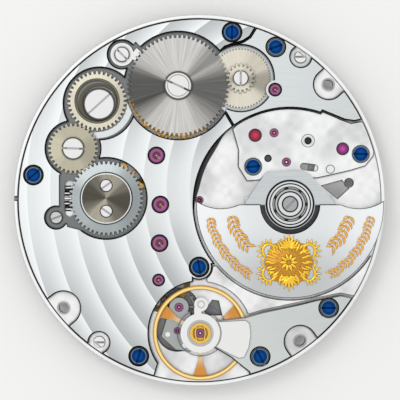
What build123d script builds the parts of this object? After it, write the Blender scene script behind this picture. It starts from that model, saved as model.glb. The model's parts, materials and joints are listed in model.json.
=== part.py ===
from build123d import *
import os
from math import acos, atan2, cos, degrees, hypot, radians, sin

# An ultra-thin self-winding watch movement with a micro-rotor, in millimetres.
# The origin is the centre of the dial seat, +Z points from the dial side to the bridge side,
# +X is the photograph's right and +Y its top. Places on the bridge side are pixels of the photograph.

# Driving sizes
casing_diameter = 29.9
photo_rim_px = 186.0
photo_centre_px = (199.4, 200.2)
overrun = 0.5

# Main plate, from the dial seat upwards
plate_height = 1.24
dial_pocket_depth = 0.42
cavity_floor = 0.56
barrel_pocket_floor = 0.25
land_top = 1.80
rim_chamfer = 0.08
rim_groove_width = 0.09
rim_groove_depth = 0.12
running_gap = 0.08
pivot_gap = 0.02
seat_gap = 0.01

# Bridges
bridge_top = 2.00
bridge_edge_inset = 0.40
bridge_bevel = 0.10
land_bevel = 0.03
thin_bevel = 0.025
bridge_gap = 0.06
support_top = 1.46
pallet_bridge_top = 1.38
cock_arm_bottom = 1.84
index_height = 0.07

# Train layers: bottoms of the wheels and their thickness
wheel_thickness = 0.12
low_layer = 0.62
middle_layer = 0.84
high_layer = 1.06
pinion_margin = 0.03
arbor_radius = 0.20
pivot_radius = 0.07
floor_gap = 0.06

# Tooth form, as shares of the module and of the pitch
addendum_share = 0.9
dedendum_share = 1.2
tooth_root_share = 0.31
tooth_tip_share = 0.13

# Jewel form, as a share of the jewel's radius
cup_share = 0.55

# Shares of a pitch round an escape tooth
club_root_share = 0.28
club_tip_share = 0.16
club_heel_share = 0.34

# Winding wheels, set into the bridge
winding_floor = 1.66
winding_bottom = 1.70
winding_top = 1.90
winding_module_share = 0.0040134
winding_module = winding_module_share * casing_diameter
crown_teeth = 48
small_teeth = 32
rocking_teeth = 38
rocking_play = 0.06
ratchet_teeth = 66
auto_pinion_teeth = 18
crown_recess_radius = 3.23
crown_core_radius = 2.03
core_screw_radius = 0.50
core_screw_offset = 1.03
small_recess_radius = 2.19
small_screw_radius = 0.90
rocking_recess_radius = 2.87
rocking_core_radius = 1.34
rocking_bush_inner = 1.66
rocking_bush_outer = 1.80
rocking_bush_step = 0.05
rocking_screw_radius = 1.30
ratchet_recess_radius = 4.30
ratchet_screw_radius = 1.15
auto_recess_radius = 2.65
auto_recess_floor = 1.44
auto_wheel_bottom = 1.50
auto_boss_radius = 0.74
auto_boss_bottom = 1.68
auto_screw_radius = 0.62
auto_post_radius = 0.34
cap_height = 0.10
crown_hub_radius = 1.50
crown_flange_height = 0.07
core_screw_floor = 1.80
small_shoulder_radius = 0.50
ratchet_ring_outer = 0.90
ratchet_ring_inner = 0.82
ratchet_slot_angle = -25
rocking_slot_angle = 42
small_slot_angle = -2
auto_slot_angle = 90
core_slot_angle = 35

# Toothed click
click_radius = 0.92
click_recess_radius = 1.13
click_screw_radius = 0.60
click_bottom = 1.70
click_bite = 0.08
click_beak_width = 0.42
click_beak_start = 138
click_beak_end = 150
click_room_radius = 4.90
click_room_start = 134
click_room_end = 154
click_spring_radius = 0.86
click_spring_width = 0.09
click_spring_bottom = 1.56
click_spring_height = 0.06
click_spring_gap_start = 15
click_spring_gap_end = 75
click_clear_share = 0.012
click_shoulder_radius = 0.36
click_slot_angle = -45

# Screws
screw_bevel = 0.06
slot_width = 0.16
slot_depth = 0.12
bridge_screw_radius = 0.66
bridge_screw_sink_radius = 0.74
bridge_screw_head = 0.22
bridge_screw_proud = 0.02
shank_radius = 0.30
shank_bottom = 0.50
dog_screw_radius = 0.48
dog_screw_bottom = 1.40
dog_floor_top = 1.34
dog_screw_top = 1.60
dog_notch_radius = 0.84
dog_collar_radius = 0.40
dog_flat_share = 0.35
case_hole_radius = 0.40
case_sink_radius = 0.56
case_sink_depth = 0.10
chrome_hole_radius = 0.36
blind_hole_radius = 0.30
blind_pin_radius = 0.22
press_pin_radius = 0.30
pallet_pin_radius = 0.20

# Jewels
train_jewel_radius = 0.62
fourth_jewel_radius = 0.42
auto_jewel_radius = 0.46
support_jewel_radius = 0.37
support_jewel_bottom = 1.30
support_screw_floor = 1.34
support_slot_width = 0.60
escape_boss_radius = 0.80
wedge_floor = 0.96
barrel_window_radius = 3.60
barrel_window_start = 195
barrel_window_end = 305
train_window_radius = 2.75
train_window_start = 14
train_window_end = 70
auto_thread_radius = 0.22
core_shank_radius = 0.20
escape_jewel_radius = 0.37
centre_jewel_radius = 0.34
plate_jewel_radius = 0.30
plate_jewel_height = 0.10
plate_pivot_low = 0.45
jewel_height = 0.24
jewel_sink_depth = 0.05
red_stud_radius = 0.54
violet_stud_radius = 0.52
stud_height = 0.18

# Barrel
barrel_teeth = 82
barrel_bottom = 0.32
barrel_height = 0.68
barrel_wall = 0.14
barrel_cover_height = 0.08
barrel_toothed_bottom = 0.60
barrel_toothed_top = 0.80
barrel_arbor_radius = 0.72
barrel_square_radius = 0.50
mainspring_height = 0.40
mainspring_thickness = 0.06
mainspring_pitch = 0.50
mainspring_half_turns = 9
mainspring_first_radius = 0.86

# Going train
first_pinion_teeth = 35
first_wheel_teeth = 50
second_pinion_teeth = 18
second_wheel_teeth = 60
third_pinion_teeth = 12
third_wheel_teeth = 72
fourth_pinion_teeth = 8
fourth_wheel_teeth = 72
escape_pinion_teeth = 9
escape_teeth = 20
escape_tip_radius = 1.50
escape_root_radius = 1.26
club_drop = 0.05
centre_jewel_bottom = 1.10
centre_arbor_radius = 0.16
driver_arbor_radius = 0.12
crossing_width = 0.16
crossing_rim = 0.22
crossing_hub = 0.45

# Pallet fork
pallet_height = 0.10
pallet_width = 0.20
fork_length = 1.62
fork_gap = 0.14
stone_width = 0.12
stone_length = 0.30
pallet_spread = 31.5

# Balance
balance_radius = 3.81
balance_rim_width = 0.34
balance_rim_bottom = 1.46
balance_rim_top = 1.72
balance_arm_bottom = 1.54
balance_arm_top = 1.64
balance_hub_radius = 0.42
balance_arm_root_width = 0.34
balance_arm_end_width = 1.25
balance_arms = 3
balance_first_arm = 30
balance_flare_share = 0.62
balance_clearance_radius = 4.14
staff_radius = 0.16
roller_radius = 0.42
roller_bottom = 1.00
roller_height = 0.08
impulse_pin_radius = 0.05
impulse_pin_reach = 0.30
hairspring_bottom = 1.68
hairspring_height = 0.08
hairspring_thickness = 0.05
hairspring_first_radius = 0.46
hairspring_half_turns = 8
hairspring_clear = 0.012
cock_disc_radius = 1.60
cock_disc_top = 1.97
carrier_top = 2.04
carrier_inner_radius = 1.06
carrier_end_radius = 0.55
stud_pin_radius = 0.22
shock_radius = 0.84
shock_wall = 0.14
shock_top = 2.10
shock_jewel_radius = 0.36
shock_spring_width = 0.09
shock_jewel_height = 0.08
lyre_half_angle = 28
lyre_waist_share = 1.12

# Micro-rotor
rotor_radius = 7.51
rotor_well_gap = 0.20
well_radius = rotor_radius + rotor_well_gap
rotor_plate_bottom = 2.04
rotor_plate_top = 2.14
rotor_weight_bottom = 1.54
rotor_top = 2.20
rotor_groove_radius = 2.37
bearing_radius = 1.87
bearing_inner_wall = 1.38
bearing_core_radius = 1.24
bearing_bottom = 1.96
bearing_top = 2.24
ball_radius = 0.115
ball_count = 7
rotor_post_radius = 0.74
rotor_sleeve_outer = 1.05
rotor_sleeve_inner = 0.82
rotor_flange_height = 0.07
rotor_screw_radius = 0.635
rotor_screw_top = 2.35
rotor_foot_depth = 0.60
rotor_foot_height = 0.06
rotor_foot_width = 1.10
rotor_bevel = 0.05
rotor_slot_angle = 45
rotor_thread_bottom = 1.20
bearing_seat_width = 0.14
bearing_line_width = 0.05
bearing_line_radius = 1.02
bearing_outer_line_radius = 1.66

# Automatic train
auto_wheel_teeth = 60
auto_second_pinion_teeth = 13
auto_second_wheel_teeth = 72
auto_third_pinion_teeth = 14
auto_third_wheel_teeth = 46
reverser_pinion_teeth = 18
reverser_wheel_teeth = 54
rotor_pinion_teeth = 30

# Keyless work and motion work, on the dial side
stem_axis_height = 0.95
stem_bore_radius = 0.36
winding_pinion_teeth = 14
winding_pinion_length = 0.54
winding_pinion_hub_radius = 0.50
winding_pinion_hub_length = 0.36
winding_slot_half_width = 0.38
winding_slot_half_length = 1.50
clutch_radius = 0.50
clutch_length = 1.20
clutch_groove_radius = 0.34
clutch_groove_width = 0.26
clutch_gap = 0.10
clutch_travel = 0.35
clutch_bite = 0.05
clutch_square_radius = 0.22
keyless_pocket_half_width = 1.04
lever_bottom = 0.16
lever_height = 0.12
cover_bottom = 0.03
cover_height = 0.09
lever_pivot_radius = 0.22
lever_hub_radius = 0.45
lever_pin_radius = 0.12
lever_pin_gap = 0.32
lever_pin_top = 0.65
lever_screw_radius = 0.50
setting_screw_sink = 0.88
stem_pilot_radius = 0.20
stem_pilot_length = 0.85
motion_stud_top = 0.54
setting_stud_top = 0.76
motion_stud_bottom = 0.03
motion_stud_head = 0.08
cover_screw_shank = 0.20
cover_screw_head = 0.40
cover_screw_top = 0.56
cover_width = 0.90
lever_width = 0.36
yoke_nose_height = 0.44
yoke_nose_width = 0.14
yoke_nose_setback = 0.20
clutch_teeth = 8
clutch_notch = 0.16
setting_slot_angle = 20
setting_teeth = 18
transfer_teeth = 44
setting_wheel_top = 0.56
minute_heading = 230
motion_module = 0.09
minute_pinion_teeth = 10
hour_teeth = 40
cannon_teeth = 12
minute_teeth = 36
minute_driver_teeth = 24
centre_wheel_teeth = 36
hour_bottom = 0.05
hour_height = 0.08
motion_bottom = 0.16
motion_height = 0.08
motion_stud_radius = 0.18
motion_stud_head_radius = 0.36
centre_wheel_bottom = 0.28
centre_wheel_height = 0.08
cannon_radius = 0.56
cannon_bore_radius = 0.24
minute_seat_radius = 0.40
minute_shoulder = -0.59
cannon_bottom = -0.95
hour_pipe_radius = 0.75
hour_pipe_bottom = -0.55
dial_foot_radius = 0.36
dial_foot_depth = 0.80

# Places on the bridge side, in pixels of the photograph
ratchet_px = (178.3, 86.0)
crown_px = (106.6, 198.4)
small_direction_px = (73.6, 148.7)
rocking_direction_px = (97.6, 101.1)
rocking_core_offset_px = (2.5, 2.5)
auto_direction_px = (240.4, 78.6)
click_px = (122.3, 55.0)
first_px = (156.6, 155.6)
second_px = (160.5, 204.5)
third_px = (159.7, 243.0)
fourth_px = (158.8, 279.7)
escape_px = (179.0, 307.2)
pallet_px = (177.3, 330.6)
balance_px = (200.3, 332.6)
auto_second_px = (274.8, 90.1)
auto_third_px = (274.0, 132.9)
reverser_px = (286.3, 162.1)
rotor_px = (289.6, 204.1)
red_stud_px = (255.1, 135.3)
violet_stud_px = (342.5, 148.9)
chrome_hole_px = (307.9, 140.8)
blind_hole_px = (267.9, 158.4)
press_pin_px = (330.2, 169.2)
setting_screw_px = (56.7, 217.5)
left_sink_px = [(59.4, 175), (68, 167), (88, 167), (88, 232), (68, 227), (59.4, 206)]
pallet_pins_px = [(167.8, 334.3), (184.5, 345.5)]
stud_px = (201.1, 303.9)
bridge_screws_px = {"main": [(34.1, 175.1, 40), (231.9, 32.8, 88), (199.1, 266.7, 100),
                             (139.0, 355.4, 75)],
                    "automatic": [(275.5, 47.6, 20)],
                    "support": [(360.6, 154.1, -3), (253.1, 166.7, 5)],
                    "cock": [(259.9, 355.9, -62), (328.2, 307.5, 0)]}
case_holes_px = [(328.2, 84.8, 14.7), (63.8, 307.8, 16.8), (299.9, 340.9, 15.5)]
dog_screws_px = [(300.4, 57.1), (99.3, 342.0)]
lower_case_hole_px = (348.9, 182.8)
automatic_bridge_px = [(257, 10), (257, 27), (250, 38), (243, 42.5), (232, 45.5), (225, 48), (216, 57),
                       (208.5, 70), (207.5, 85), (213, 100), (226, 113), (237, 132), (300, 140),
                       (322, 111), (333, 115.5), (344, 120), (354, 121.5), (364, 119), (400, 108),
                       (400, 10)]
main_tail_px = [(205, 264), (260, 264), (260, 292), (193, 292), (193, 270)]
main_foot_px = [(158.5, 362), (152, 384), (200, 400), (200, 362)]
main_lobe_px = 12.9
land_px = [(207, 268), (230, 262), (368, 255), (392, 262), (386, 292), (354.5, 295.6), (340, 292.6),
           (315, 297.6), (300, 301.4), (262, 309.6), (245, 314.6), (216, 318.0), (207, 300)]
cock_px = [(214, 320.2), (245, 316.8), (262, 311.8), (300, 303.6), (315, 299.8), (340, 294.8),
           (353.6, 297.6), (360, 304), (325, 342), (300, 362), (249.6, 380), (249.1, 371.6), (240, 364.5),
           (231, 357), (214, 347)]
index_px = [(214, 321.5), (245.5, 319.8), (249.3, 323), (250.6, 334), (248.6, 347), (244, 356.5),
            (239, 357.5), (229, 353), (214, 345)]
carrier_arm_px = [(194.5, 318), (194.2, 309), (195.5, 302), (206, 306), (201.5, 309.5), (201.5, 318)]
support_px = [(232.5, 129), (238.5, 150), (238.3, 167), (247, 181), (260, 180), (268, 172.5), (300, 178),
              (317, 178), (327, 175.8), (350, 170.5), (365, 166), (373, 156), (375.5, 145), (371, 131),
              (361.5, 121.5), (351, 123.5), (340, 119.5), (326, 113), (300, 103), (260, 103)]
support_slot_px = ((303.5, 166.5), (314.5, 168.0))
wedge_px = [(320.5, 185.5), (342, 179.5), (349.5, 188.5), (337.5, 199.5)]
pallet_bridge_px = [(167.4, 316), (161.1, 336.4), (175.7, 349.6), (190.4, 351.3), (193.5, 345.5),
                    (189.3, 339), (188.6, 328), (191.8, 320), (190, 311)]
dark_pocket_px = [(204, 311.5), (212, 299.5), (219, 300.5), (222.5, 315.5), (207, 315.5)]
rotor_plate_px = [(243.9, 205), (260.8, 179.4), (265.5, 173.2), (271, 171.2), (303, 171.2), (309.2, 174.3),
                  (336.3, 205)]
horn_tip_px = (196.3, 200.9)
horn_dip_px = (217.5, 208.4)
horn_root_px = (239.0, 204.6)
horn_tip_right_px = (382.9, 200.9)
horn_dip_right_px = (361.7, 208.4)
horn_root_right_px = (340.2, 204.6)
foot_left_px = (252.0, 204.6)
foot_right_px = (327.5, 204.6)
centre_px = photo_centre_px

# Places on the dial side, as shares of the casing radius
yoke_pivot_shares = (-0.640, -0.232)
yoke_tail_shares = (-0.688, -0.196)
lever_nose_shares = (-0.722, -0.214)
lever_pin_shares = (-0.742, 0.0097)
dial_foot_shares = [(0.80, 0.42), (-0.80, -0.42)]
cover_foot_shares = (-0.800, -0.250)
cover_end_shares = [(-0.755, -0.090), (-0.640, -0.245)]

# Round recesses for the keyless work: across, up and reach, as shares of the casing radius
keyless_recess_shares = [(-0.70, -0.17, 0.185), (-0.60, -0.08, 0.17), (-0.79, -0.20, 0.10),
                         (-0.62, -0.22, 0.09)]

casing_radius = casing_diameter / 2
mm_per_px = casing_radius / photo_rim_px


# Places and directions

def at(place_px):
    return ((place_px[0] - photo_centre_px[0]) * mm_per_px, (photo_centre_px[1] - place_px[1]) * mm_per_px)


def spread(shares):
    return (shares[0] * casing_radius, shares[1] * casing_radius)


def polar(radius, angle):
    return (radius * cos(radians(angle)), radius * sin(radians(angle)))


def step(start, radius, angle):
    along = polar(radius, angle)
    return (start[0] + along[0], start[1] + along[1])


def heading(start, end):
    return degrees(atan2(end[1] - start[1], end[0] - start[0]))


def distance(start, end):
    return hypot(end[0] - start[0], end[1] - start[1])


# Plain solids

standing = (Align.CENTER, Align.CENTER, Align.MIN)


def disc(centre, radius, low, high):
    base = Pos(centre[0], centre[1], low)
    return base * Cylinder(radius, high - low, align=standing)


def ring(centre, outer, inner, low, high):
    return disc(centre, outer, low, high) - disc(centre, inner, low - overrun, high + overrun)


def frustum(centre, low_radius, high_radius, low, high):
    base = Pos(centre[0], centre[1], low)
    return base * Cone(low_radius, high_radius, high - low, align=standing)


def outline(points):
    return make_face(Polyline(*points, close=True))


def outline_px(points_px):
    return outline([at(point) for point in points_px])


def raised(face, low, high):
    return Pos(0, 0, low) * extrude(face, high - low)


def prism(points, low, high):
    return raised(outline(points), low, high)


def sector(place, start, end, low, high):
    # a wedge that reaches past the movement's rim, under 180 degrees wide
    fan = [place]
    for bearing in (start, (start + end) / 2, end):
        fan.append(step(place, casing_diameter, bearing))
    return prism(fan, low, high)


def circle_face(centre, radius):
    return Pos(centre[0], centre[1]) * Circle(radius)


def bar(start, end, width, low, high):
    # a flat bar with round ends
    length = distance(start, end)
    middle = ((start[0] + end[0]) / 2, (start[1] + end[1]) / 2)
    place = Pos(middle[0], middle[1]) * Rot(0, 0, heading(start, end))
    return raised(place * SlotCenterToCenter(length, width), low, high)


def bevelled(face, low, high, bevel):
    # a flat piece with a bevel round its upper edge
    solid = raised(face, low, high)
    return chamfer(solid.faces().sort_by(Axis.Z)[-1].outer_wire().edges(), bevel)


def sink(centre, radius, floor, top, bevel):
    # a round recess with a bevelled mouth
    mouth = frustum(centre, radius, radius + bevel, top - bevel, top)
    return disc(centre, radius, floor, top + overrun) + mouth


def group(*pieces):
    # one node that holds several separate solids
    return Compound(children=[solid for piece in pieces for solid in piece.solids()])


# Screws, jewels and arbors

def jewel_top(top):
    # the upper end of a pivot under a bridge's upper face
    return top - jewel_sink_depth / 2


def screw(centre, head_radius, head_low, head_high, low, slot_angle, shank=shank_radius):
    head = disc(centre, head_radius, head_low, head_high)
    head = chamfer(head.faces().sort_by(Axis.Z)[-1].outer_wire().edges(), screw_bevel / 2)
    place = Pos(centre[0], centre[1], head_high) * Rot(0, 0, slot_angle)
    slot = place * Box((head_radius + overrun) * 2, slot_width, slot_depth * 2)
    return head - slot + disc(centre, shank, low, head_low)


def jewel(centre, radius, low, high, hole=pivot_radius + pivot_gap):
    cup = frustum(centre, hole, radius * cup_share, high - jewel_sink_depth, high)
    return disc(centre, radius, low, high) - disc(centre, hole, low - overrun, high + overrun) - cup


def arbor(centre, shoulder, high, thickness=arbor_radius):
    # an arbor between its jewel in the plate and its upper one, whose lower face is at the shoulder
    body = disc(centre, thickness, cavity_floor, shoulder - pivot_gap)
    return body + disc(centre, pivot_radius, plate_pivot_low, high)


# Toothed wheels

def tooth_tip(teeth, module):
    return module * (teeth / 2 + addendum_share)


def toothed_face(teeth, module, phase):
    pitch = 360 / teeth
    tip = tooth_tip(teeth, module)
    root = module * (teeth / 2 - dedendum_share)
    corners = ((root, -tooth_root_share), (tip, -tooth_tip_share),
               (tip, tooth_tip_share), (root, tooth_root_share))
    points = []
    for tooth in range(teeth):
        for radius, share in corners:
            points.append(polar(radius, phase + (tooth + share) * pitch))
    return outline(points)


def toothed(centre, teeth, module, phase, low, high):
    return Pos(centre[0], centre[1], low) * extrude(toothed_face(teeth, module, phase), high - low)


def crossed(wheel, centre, rim_inner, hub, arms, phase, low, high):
    # opens the space between a wheel's hub and rim, but for its arms
    window = ring(centre, rim_inner, hub, low - overrun, high + overrun)
    for arm in range(arms):
        turn = Rot(0, 0, phase + arm * 360 / arms)
        place = Pos(centre[0], centre[1], low) * turn * Pos(rim_inner / 2, 0)
        window -= place * Box(rim_inner, crossing_width, (high - low + overrun) * 2 + overrun)
    return wheel - window


def train_wheel(centre, teeth, module, phase, low, arms=5):
    high = low + wheel_thickness
    wheel = toothed(centre, teeth, module, phase, low, high)
    rim_inner = module * (teeth / 2 - dedendum_share) - crossing_rim
    return crossed(wheel, centre, rim_inner, crossing_hub, arms, phase, low, high)


def pinion(centre, teeth, module, phase, low):
    high = low + wheel_thickness + pinion_margin
    return toothed(centre, teeth, module, phase, low - pinion_margin, high)


def pair_module(first, second, first_teeth, second_teeth):
    return 2 * distance(first, second) / (first_teeth + second_teeth)


def meshed(first, second, first_phase, first_teeth, second_teeth):
    # the phase that puts the second wheel's gaps on the first wheel's teeth
    line = heading(first, second)
    return line + 180 - (first_phase - line) * first_teeth / second_teeth - 180 / second_teeth


# Flat spirals of half turns

def spiral(centre, first_radius, pitch, half_turns, thickness, low, height):
    path = []
    middle = 0
    radius = first_radius
    side = 1
    for turn in range(half_turns):
        start = (middle + side * radius, 0)
        top = (middle, side * radius)
        end = (middle - side * radius, 0)
        path.append(ThreePointArc(start, top, end))
        radius += pitch / 2
        middle += side * pitch / 2
        side = -side
    wire = Wire(path)
    across = Plane(origin=(first_radius, 0, 0), x_dir=(1, 0, 0), z_dir=(0, 1, 0))
    section = across * Rectangle(thickness, height)
    return Pos(centre[0], centre[1], low + height / 2) * sweep(section, path=wire)


# Lower faces of the bridges' jewels
bridge_jewel_low = bridge_top - jewel_height - jewel_sink_depth
escape_jewel_low = plate_height + pivot_gap

# Places of every axis
ratchet = at(ratchet_px)
crown = at(crown_px)
small = step(crown, winding_module * (crown_teeth + small_teeth) / 2,
             heading(crown, at(small_direction_px)))
rocking_reach = winding_module * (small_teeth + rocking_teeth) / 2 + rocking_play
rocking = step(small, rocking_reach, heading(small, at(rocking_direction_px)))
auto_first = step(ratchet, winding_module * (ratchet_teeth + auto_pinion_teeth) / 2,
                  heading(ratchet, at(auto_direction_px)))
click = at(click_px)
first = at(first_px)
second = at(second_px)
third = at(third_px)
fourth = at(fourth_px)
escape = at(escape_px)
pallet = at(pallet_px)
balance = at(balance_px)
auto_second = at(auto_second_px)
auto_third = at(auto_third_px)
reverser = at(reverser_px)
rotor = at(rotor_px)
centre = at(centre_px)
stud = at(stud_px)
red_stud = at(red_stud_px)
violet_stud = at(violet_stud_px)
setting_screw = at(setting_screw_px)
rocking_core = step(rocking, hypot(*rocking_core_offset_px) * mm_per_px,
                    degrees(atan2(-rocking_core_offset_px[1], rocking_core_offset_px[0])))
yoke_pivot = spread(yoke_pivot_shares)
yoke_tail = spread(yoke_tail_shares)
lever_nose = spread(lever_nose_shares)
lever_pin = spread(lever_pin_shares)
cover_foot = spread(cover_foot_shares)

# Turning the rocking wheel's arm by this angle brings it into mesh with the ratchet wheel
engaged_distance = winding_module * (rocking_teeth + ratchet_teeth) / 2
span = distance(small, ratchet)
rocking_cosine = (rocking_reach ** 2 + span ** 2 - engaged_distance ** 2) / (2 * rocking_reach * span)
engaged_angle = heading(small, ratchet) + degrees(acos(rocking_cosine))
rocking_swing = heading(small, rocking) - engaged_angle
engaged_rocking = step(small, rocking_reach, engaged_angle)

# The ball bearing's balls run midway between its rings
ball_orbit = (bearing_core_radius + bearing_inner_wall) / 2
ball_height = (bearing_bottom + bearing_top) / 2

# The hairspring's turns end at its stud
hairspring_pitch = (distance(balance, stud) - hairspring_first_radius) * 2 / hairspring_half_turns

# Modules that follow from the places
barrel_module = pair_module(ratchet, first, barrel_teeth, first_pinion_teeth)
first_module = pair_module(first, second, first_wheel_teeth, second_pinion_teeth)
second_module = pair_module(second, third, second_wheel_teeth, third_pinion_teeth)
third_module = pair_module(third, fourth, third_wheel_teeth, fourth_pinion_teeth)
fourth_module = pair_module(fourth, escape, fourth_wheel_teeth, escape_pinion_teeth)
auto_first_module = pair_module(auto_first, auto_second, auto_wheel_teeth, auto_second_pinion_teeth)
auto_second_module = pair_module(auto_second, auto_third, auto_second_wheel_teeth, auto_third_pinion_teeth)
auto_third_module = pair_module(auto_third, reverser, auto_third_wheel_teeth, reverser_pinion_teeth)
rotor_module = pair_module(reverser, rotor, reverser_wheel_teeth, rotor_pinion_teeth)
driver_module = pair_module(second, centre, minute_driver_teeth, centre_wheel_teeth)

# Phases that put every pair in mesh at rest, along each train from its first wheel
crown_phase = 180 + 180 / crown_teeth
small_phase = meshed(crown, small, crown_phase, crown_teeth, small_teeth)
# the rocking wheel is out by equal shares of a tooth with its arm at rest and in mesh
rocking_slack = (360 - rocking_swing * small_teeth) / rocking_teeth / 2
rocking_phase = meshed(small, rocking, small_phase, small_teeth, rocking_teeth) + rocking_slack
engaged_phase = rocking_phase - rocking_swing
ratchet_phase = meshed(engaged_rocking, ratchet, engaged_phase, rocking_teeth, ratchet_teeth)
auto_pinion_phase = meshed(ratchet, auto_first, ratchet_phase, ratchet_teeth, auto_pinion_teeth)
auto_second_phase = meshed(auto_first, auto_second, 0, auto_wheel_teeth, auto_second_pinion_teeth)
auto_third_phase = meshed(auto_second, auto_third, 0, auto_second_wheel_teeth, auto_third_pinion_teeth)
reverser_pinion_phase = meshed(auto_third, reverser, 0, auto_third_wheel_teeth, reverser_pinion_teeth)
rotor_pinion_phase = meshed(reverser, rotor, 0, reverser_wheel_teeth, rotor_pinion_teeth)
first_pinion_phase = meshed(ratchet, first, 0, barrel_teeth, first_pinion_teeth)
second_pinion_phase = meshed(first, second, 0, first_wheel_teeth, second_pinion_teeth)
third_pinion_phase = meshed(second, third, 0, second_wheel_teeth, third_pinion_teeth)
fourth_pinion_phase = meshed(third, fourth, 0, third_wheel_teeth, fourth_pinion_teeth)
escape_pinion_phase = meshed(fourth, escape, 0, fourth_wheel_teeth, escape_pinion_teeth)
centre_wheel_phase = meshed(second, centre, 0, minute_driver_teeth, centre_wheel_teeth)

# Motion work: the cannon pinion drives the minute wheel, whose pinion drives the hour wheel
motion_reach = motion_module * (cannon_teeth + minute_teeth) / 2
hour_module = 2 * motion_reach / (minute_pinion_teeth + hour_teeth)
minute = step(centre, motion_reach, minute_heading)
minute_phase = meshed(centre, minute, 0, cannon_teeth, minute_teeth)
hour_phase = meshed(minute, centre, 0, minute_pinion_teeth, hour_teeth)

# The winding pinion lies along X under the crown wheel's outer edge
winding_pinion_end = crown[0] - winding_module * (crown_teeth / 2 - dedendum_share) - floor_gap
winding_pinion_start = winding_pinion_end - winding_pinion_length
clutch_start = winding_pinion_end + winding_pinion_hub_length + clutch_gap
clutch_middle = clutch_start + clutch_length / 2
clutch_end = clutch_start + clutch_length

# The setting wheel lies where the clutch reaches it, and the transfer wheel joins it to the minute wheel
setting = (clutch_end + clutch_travel - clutch_bite + tooth_tip(setting_teeth, motion_module), crown[1])
transfer_reach = motion_module * (minute_teeth + transfer_teeth) / 2
setting_reach = motion_module * (transfer_teeth + setting_teeth) / 2
setting_span = distance(minute, setting)
setting_cosine = ((transfer_reach ** 2 + setting_span ** 2 - setting_reach ** 2)
                  / (2 * transfer_reach * setting_span))
transfer = step(minute, transfer_reach, heading(minute, setting) + degrees(acos(setting_cosine)))
transfer_phase = meshed(minute, transfer, minute_phase, minute_teeth, transfer_teeth)
setting_phase = meshed(transfer, setting, transfer_phase, transfer_teeth, setting_teeth)

all_bridge_screws = [place for places in bridge_screws_px.values() for place in places]

# The jewels in the barrel bridge
train_jewels = [(first, train_jewel_radius), (second, train_jewel_radius), (third, train_jewel_radius),
                (fourth, fourth_jewel_radius)]


# Main plate

def plate_pockets():
    # each moving wheel's pocket, open towards the bridges: place, tip radius, pocket floor
    rooms = [(ratchet, tooth_tip(barrel_teeth, barrel_module), barrel_pocket_floor),
             (first, tooth_tip(first_pinion_teeth, barrel_module), cavity_floor),
             (first, tooth_tip(first_wheel_teeth, first_module), high_layer - floor_gap),
             (second, tooth_tip(second_wheel_teeth, second_module), middle_layer - floor_gap),
             (second, arbor_radius, cavity_floor),
             (third, tooth_tip(third_wheel_teeth, third_module), cavity_floor),
             (fourth, tooth_tip(fourth_wheel_teeth, fourth_module), high_layer - floor_gap),
             (fourth, tooth_tip(fourth_pinion_teeth, third_module), cavity_floor),
             (escape, escape_tip_radius, cavity_floor),
             (pallet, fork_length, cavity_floor),
             (balance, roller_radius, cavity_floor),
             (auto_second, tooth_tip(auto_second_wheel_teeth, auto_second_module), cavity_floor),
             (auto_third, tooth_tip(auto_third_wheel_teeth, auto_third_module), middle_layer - floor_gap),
             (auto_third, tooth_tip(auto_third_pinion_teeth, auto_second_module), cavity_floor),
             (reverser, tooth_tip(reverser_wheel_teeth, rotor_module), high_layer - floor_gap),
             (reverser, tooth_tip(reverser_pinion_teeth, auto_third_module), cavity_floor),
             (rotor, tooth_tip(rotor_pinion_teeth, rotor_module), high_layer - floor_gap)]
    high = plate_height + overrun
    return [disc(place, radius + running_gap, floor, high) for place, radius, floor in rooms]


def stem_passage():
    # along X: the stem bore from the rim, then the room of the winding pinion and the clutch
    length = winding_pinion_start + casing_radius + overrun
    bore = Pos(winding_pinion_start - length / 2, crown[1], stem_axis_height) * Rot(0, 90, 0)
    room_length = clutch_end + clutch_travel + running_gap - winding_pinion_start + running_gap
    room_middle = (clutch_end + clutch_travel + winding_pinion_start) / 2
    pinion_length = winding_pinion_length + running_gap * 2
    pinion_room = Box(pinion_length, keyless_pocket_half_width * 2, plate_height * 2 + overrun)
    clutch_room = Pos(room_middle, crown[1], stem_axis_height) * Rot(0, 90, 0)
    lower_room = Box(room_length, (clutch_radius + running_gap) * 2, stem_axis_height * 2)
    pilot = Pos(clutch_end + stem_pilot_length / 2, crown[1], stem_axis_height) * Rot(0, 90, 0)
    return [bore * Cylinder(stem_bore_radius, length),
            Pos((winding_pinion_start + winding_pinion_end) / 2, crown[1], 0) * pinion_room,
            clutch_room * Cylinder(clutch_radius + running_gap, room_length),
            Pos(room_middle, crown[1], 0) * lower_room,
            pilot * Cylinder(stem_pilot_radius, stem_pilot_length + overrun)]


def dial_recesses():
    # opened from the dial side: motion work, keyless work and its cover
    top = dial_pocket_depth
    hollows = [(centre, tooth_tip(centre_wheel_teeth, driver_module), top),
               (second, tooth_tip(minute_driver_teeth, driver_module), top),
               (minute, tooth_tip(minute_teeth, motion_module), top),
               (transfer, tooth_tip(transfer_teeth, motion_module), top),
               (setting, tooth_tip(setting_teeth, motion_module), setting_wheel_top + floor_gap)]
    tools = [disc(place, radius + running_gap, -overrun, roof) for place, radius, roof in hollows]
    for across, up, reach in keyless_recess_shares:
        tools.append(disc(spread((across, up)), reach * casing_radius, -overrun, top))
    tools.append(disc(lever_pin, lever_pin_radius + lever_pin_gap, 0, stem_axis_height))
    tools += cover_bars(-overrun, cover_bottom + cover_height + seat_gap, running_gap)
    return tools


def jewel_seats():
    places = [first, second, third, fourth, escape, pallet, balance, auto_second, auto_third, reverser]
    return [disc(place, plate_jewel_radius, -overrun, plate_height) for place in places]


def case_hole_places():
    return [(at((x, y)), lobe * mm_per_px) for x, y, lobe in case_holes_px]


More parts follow.
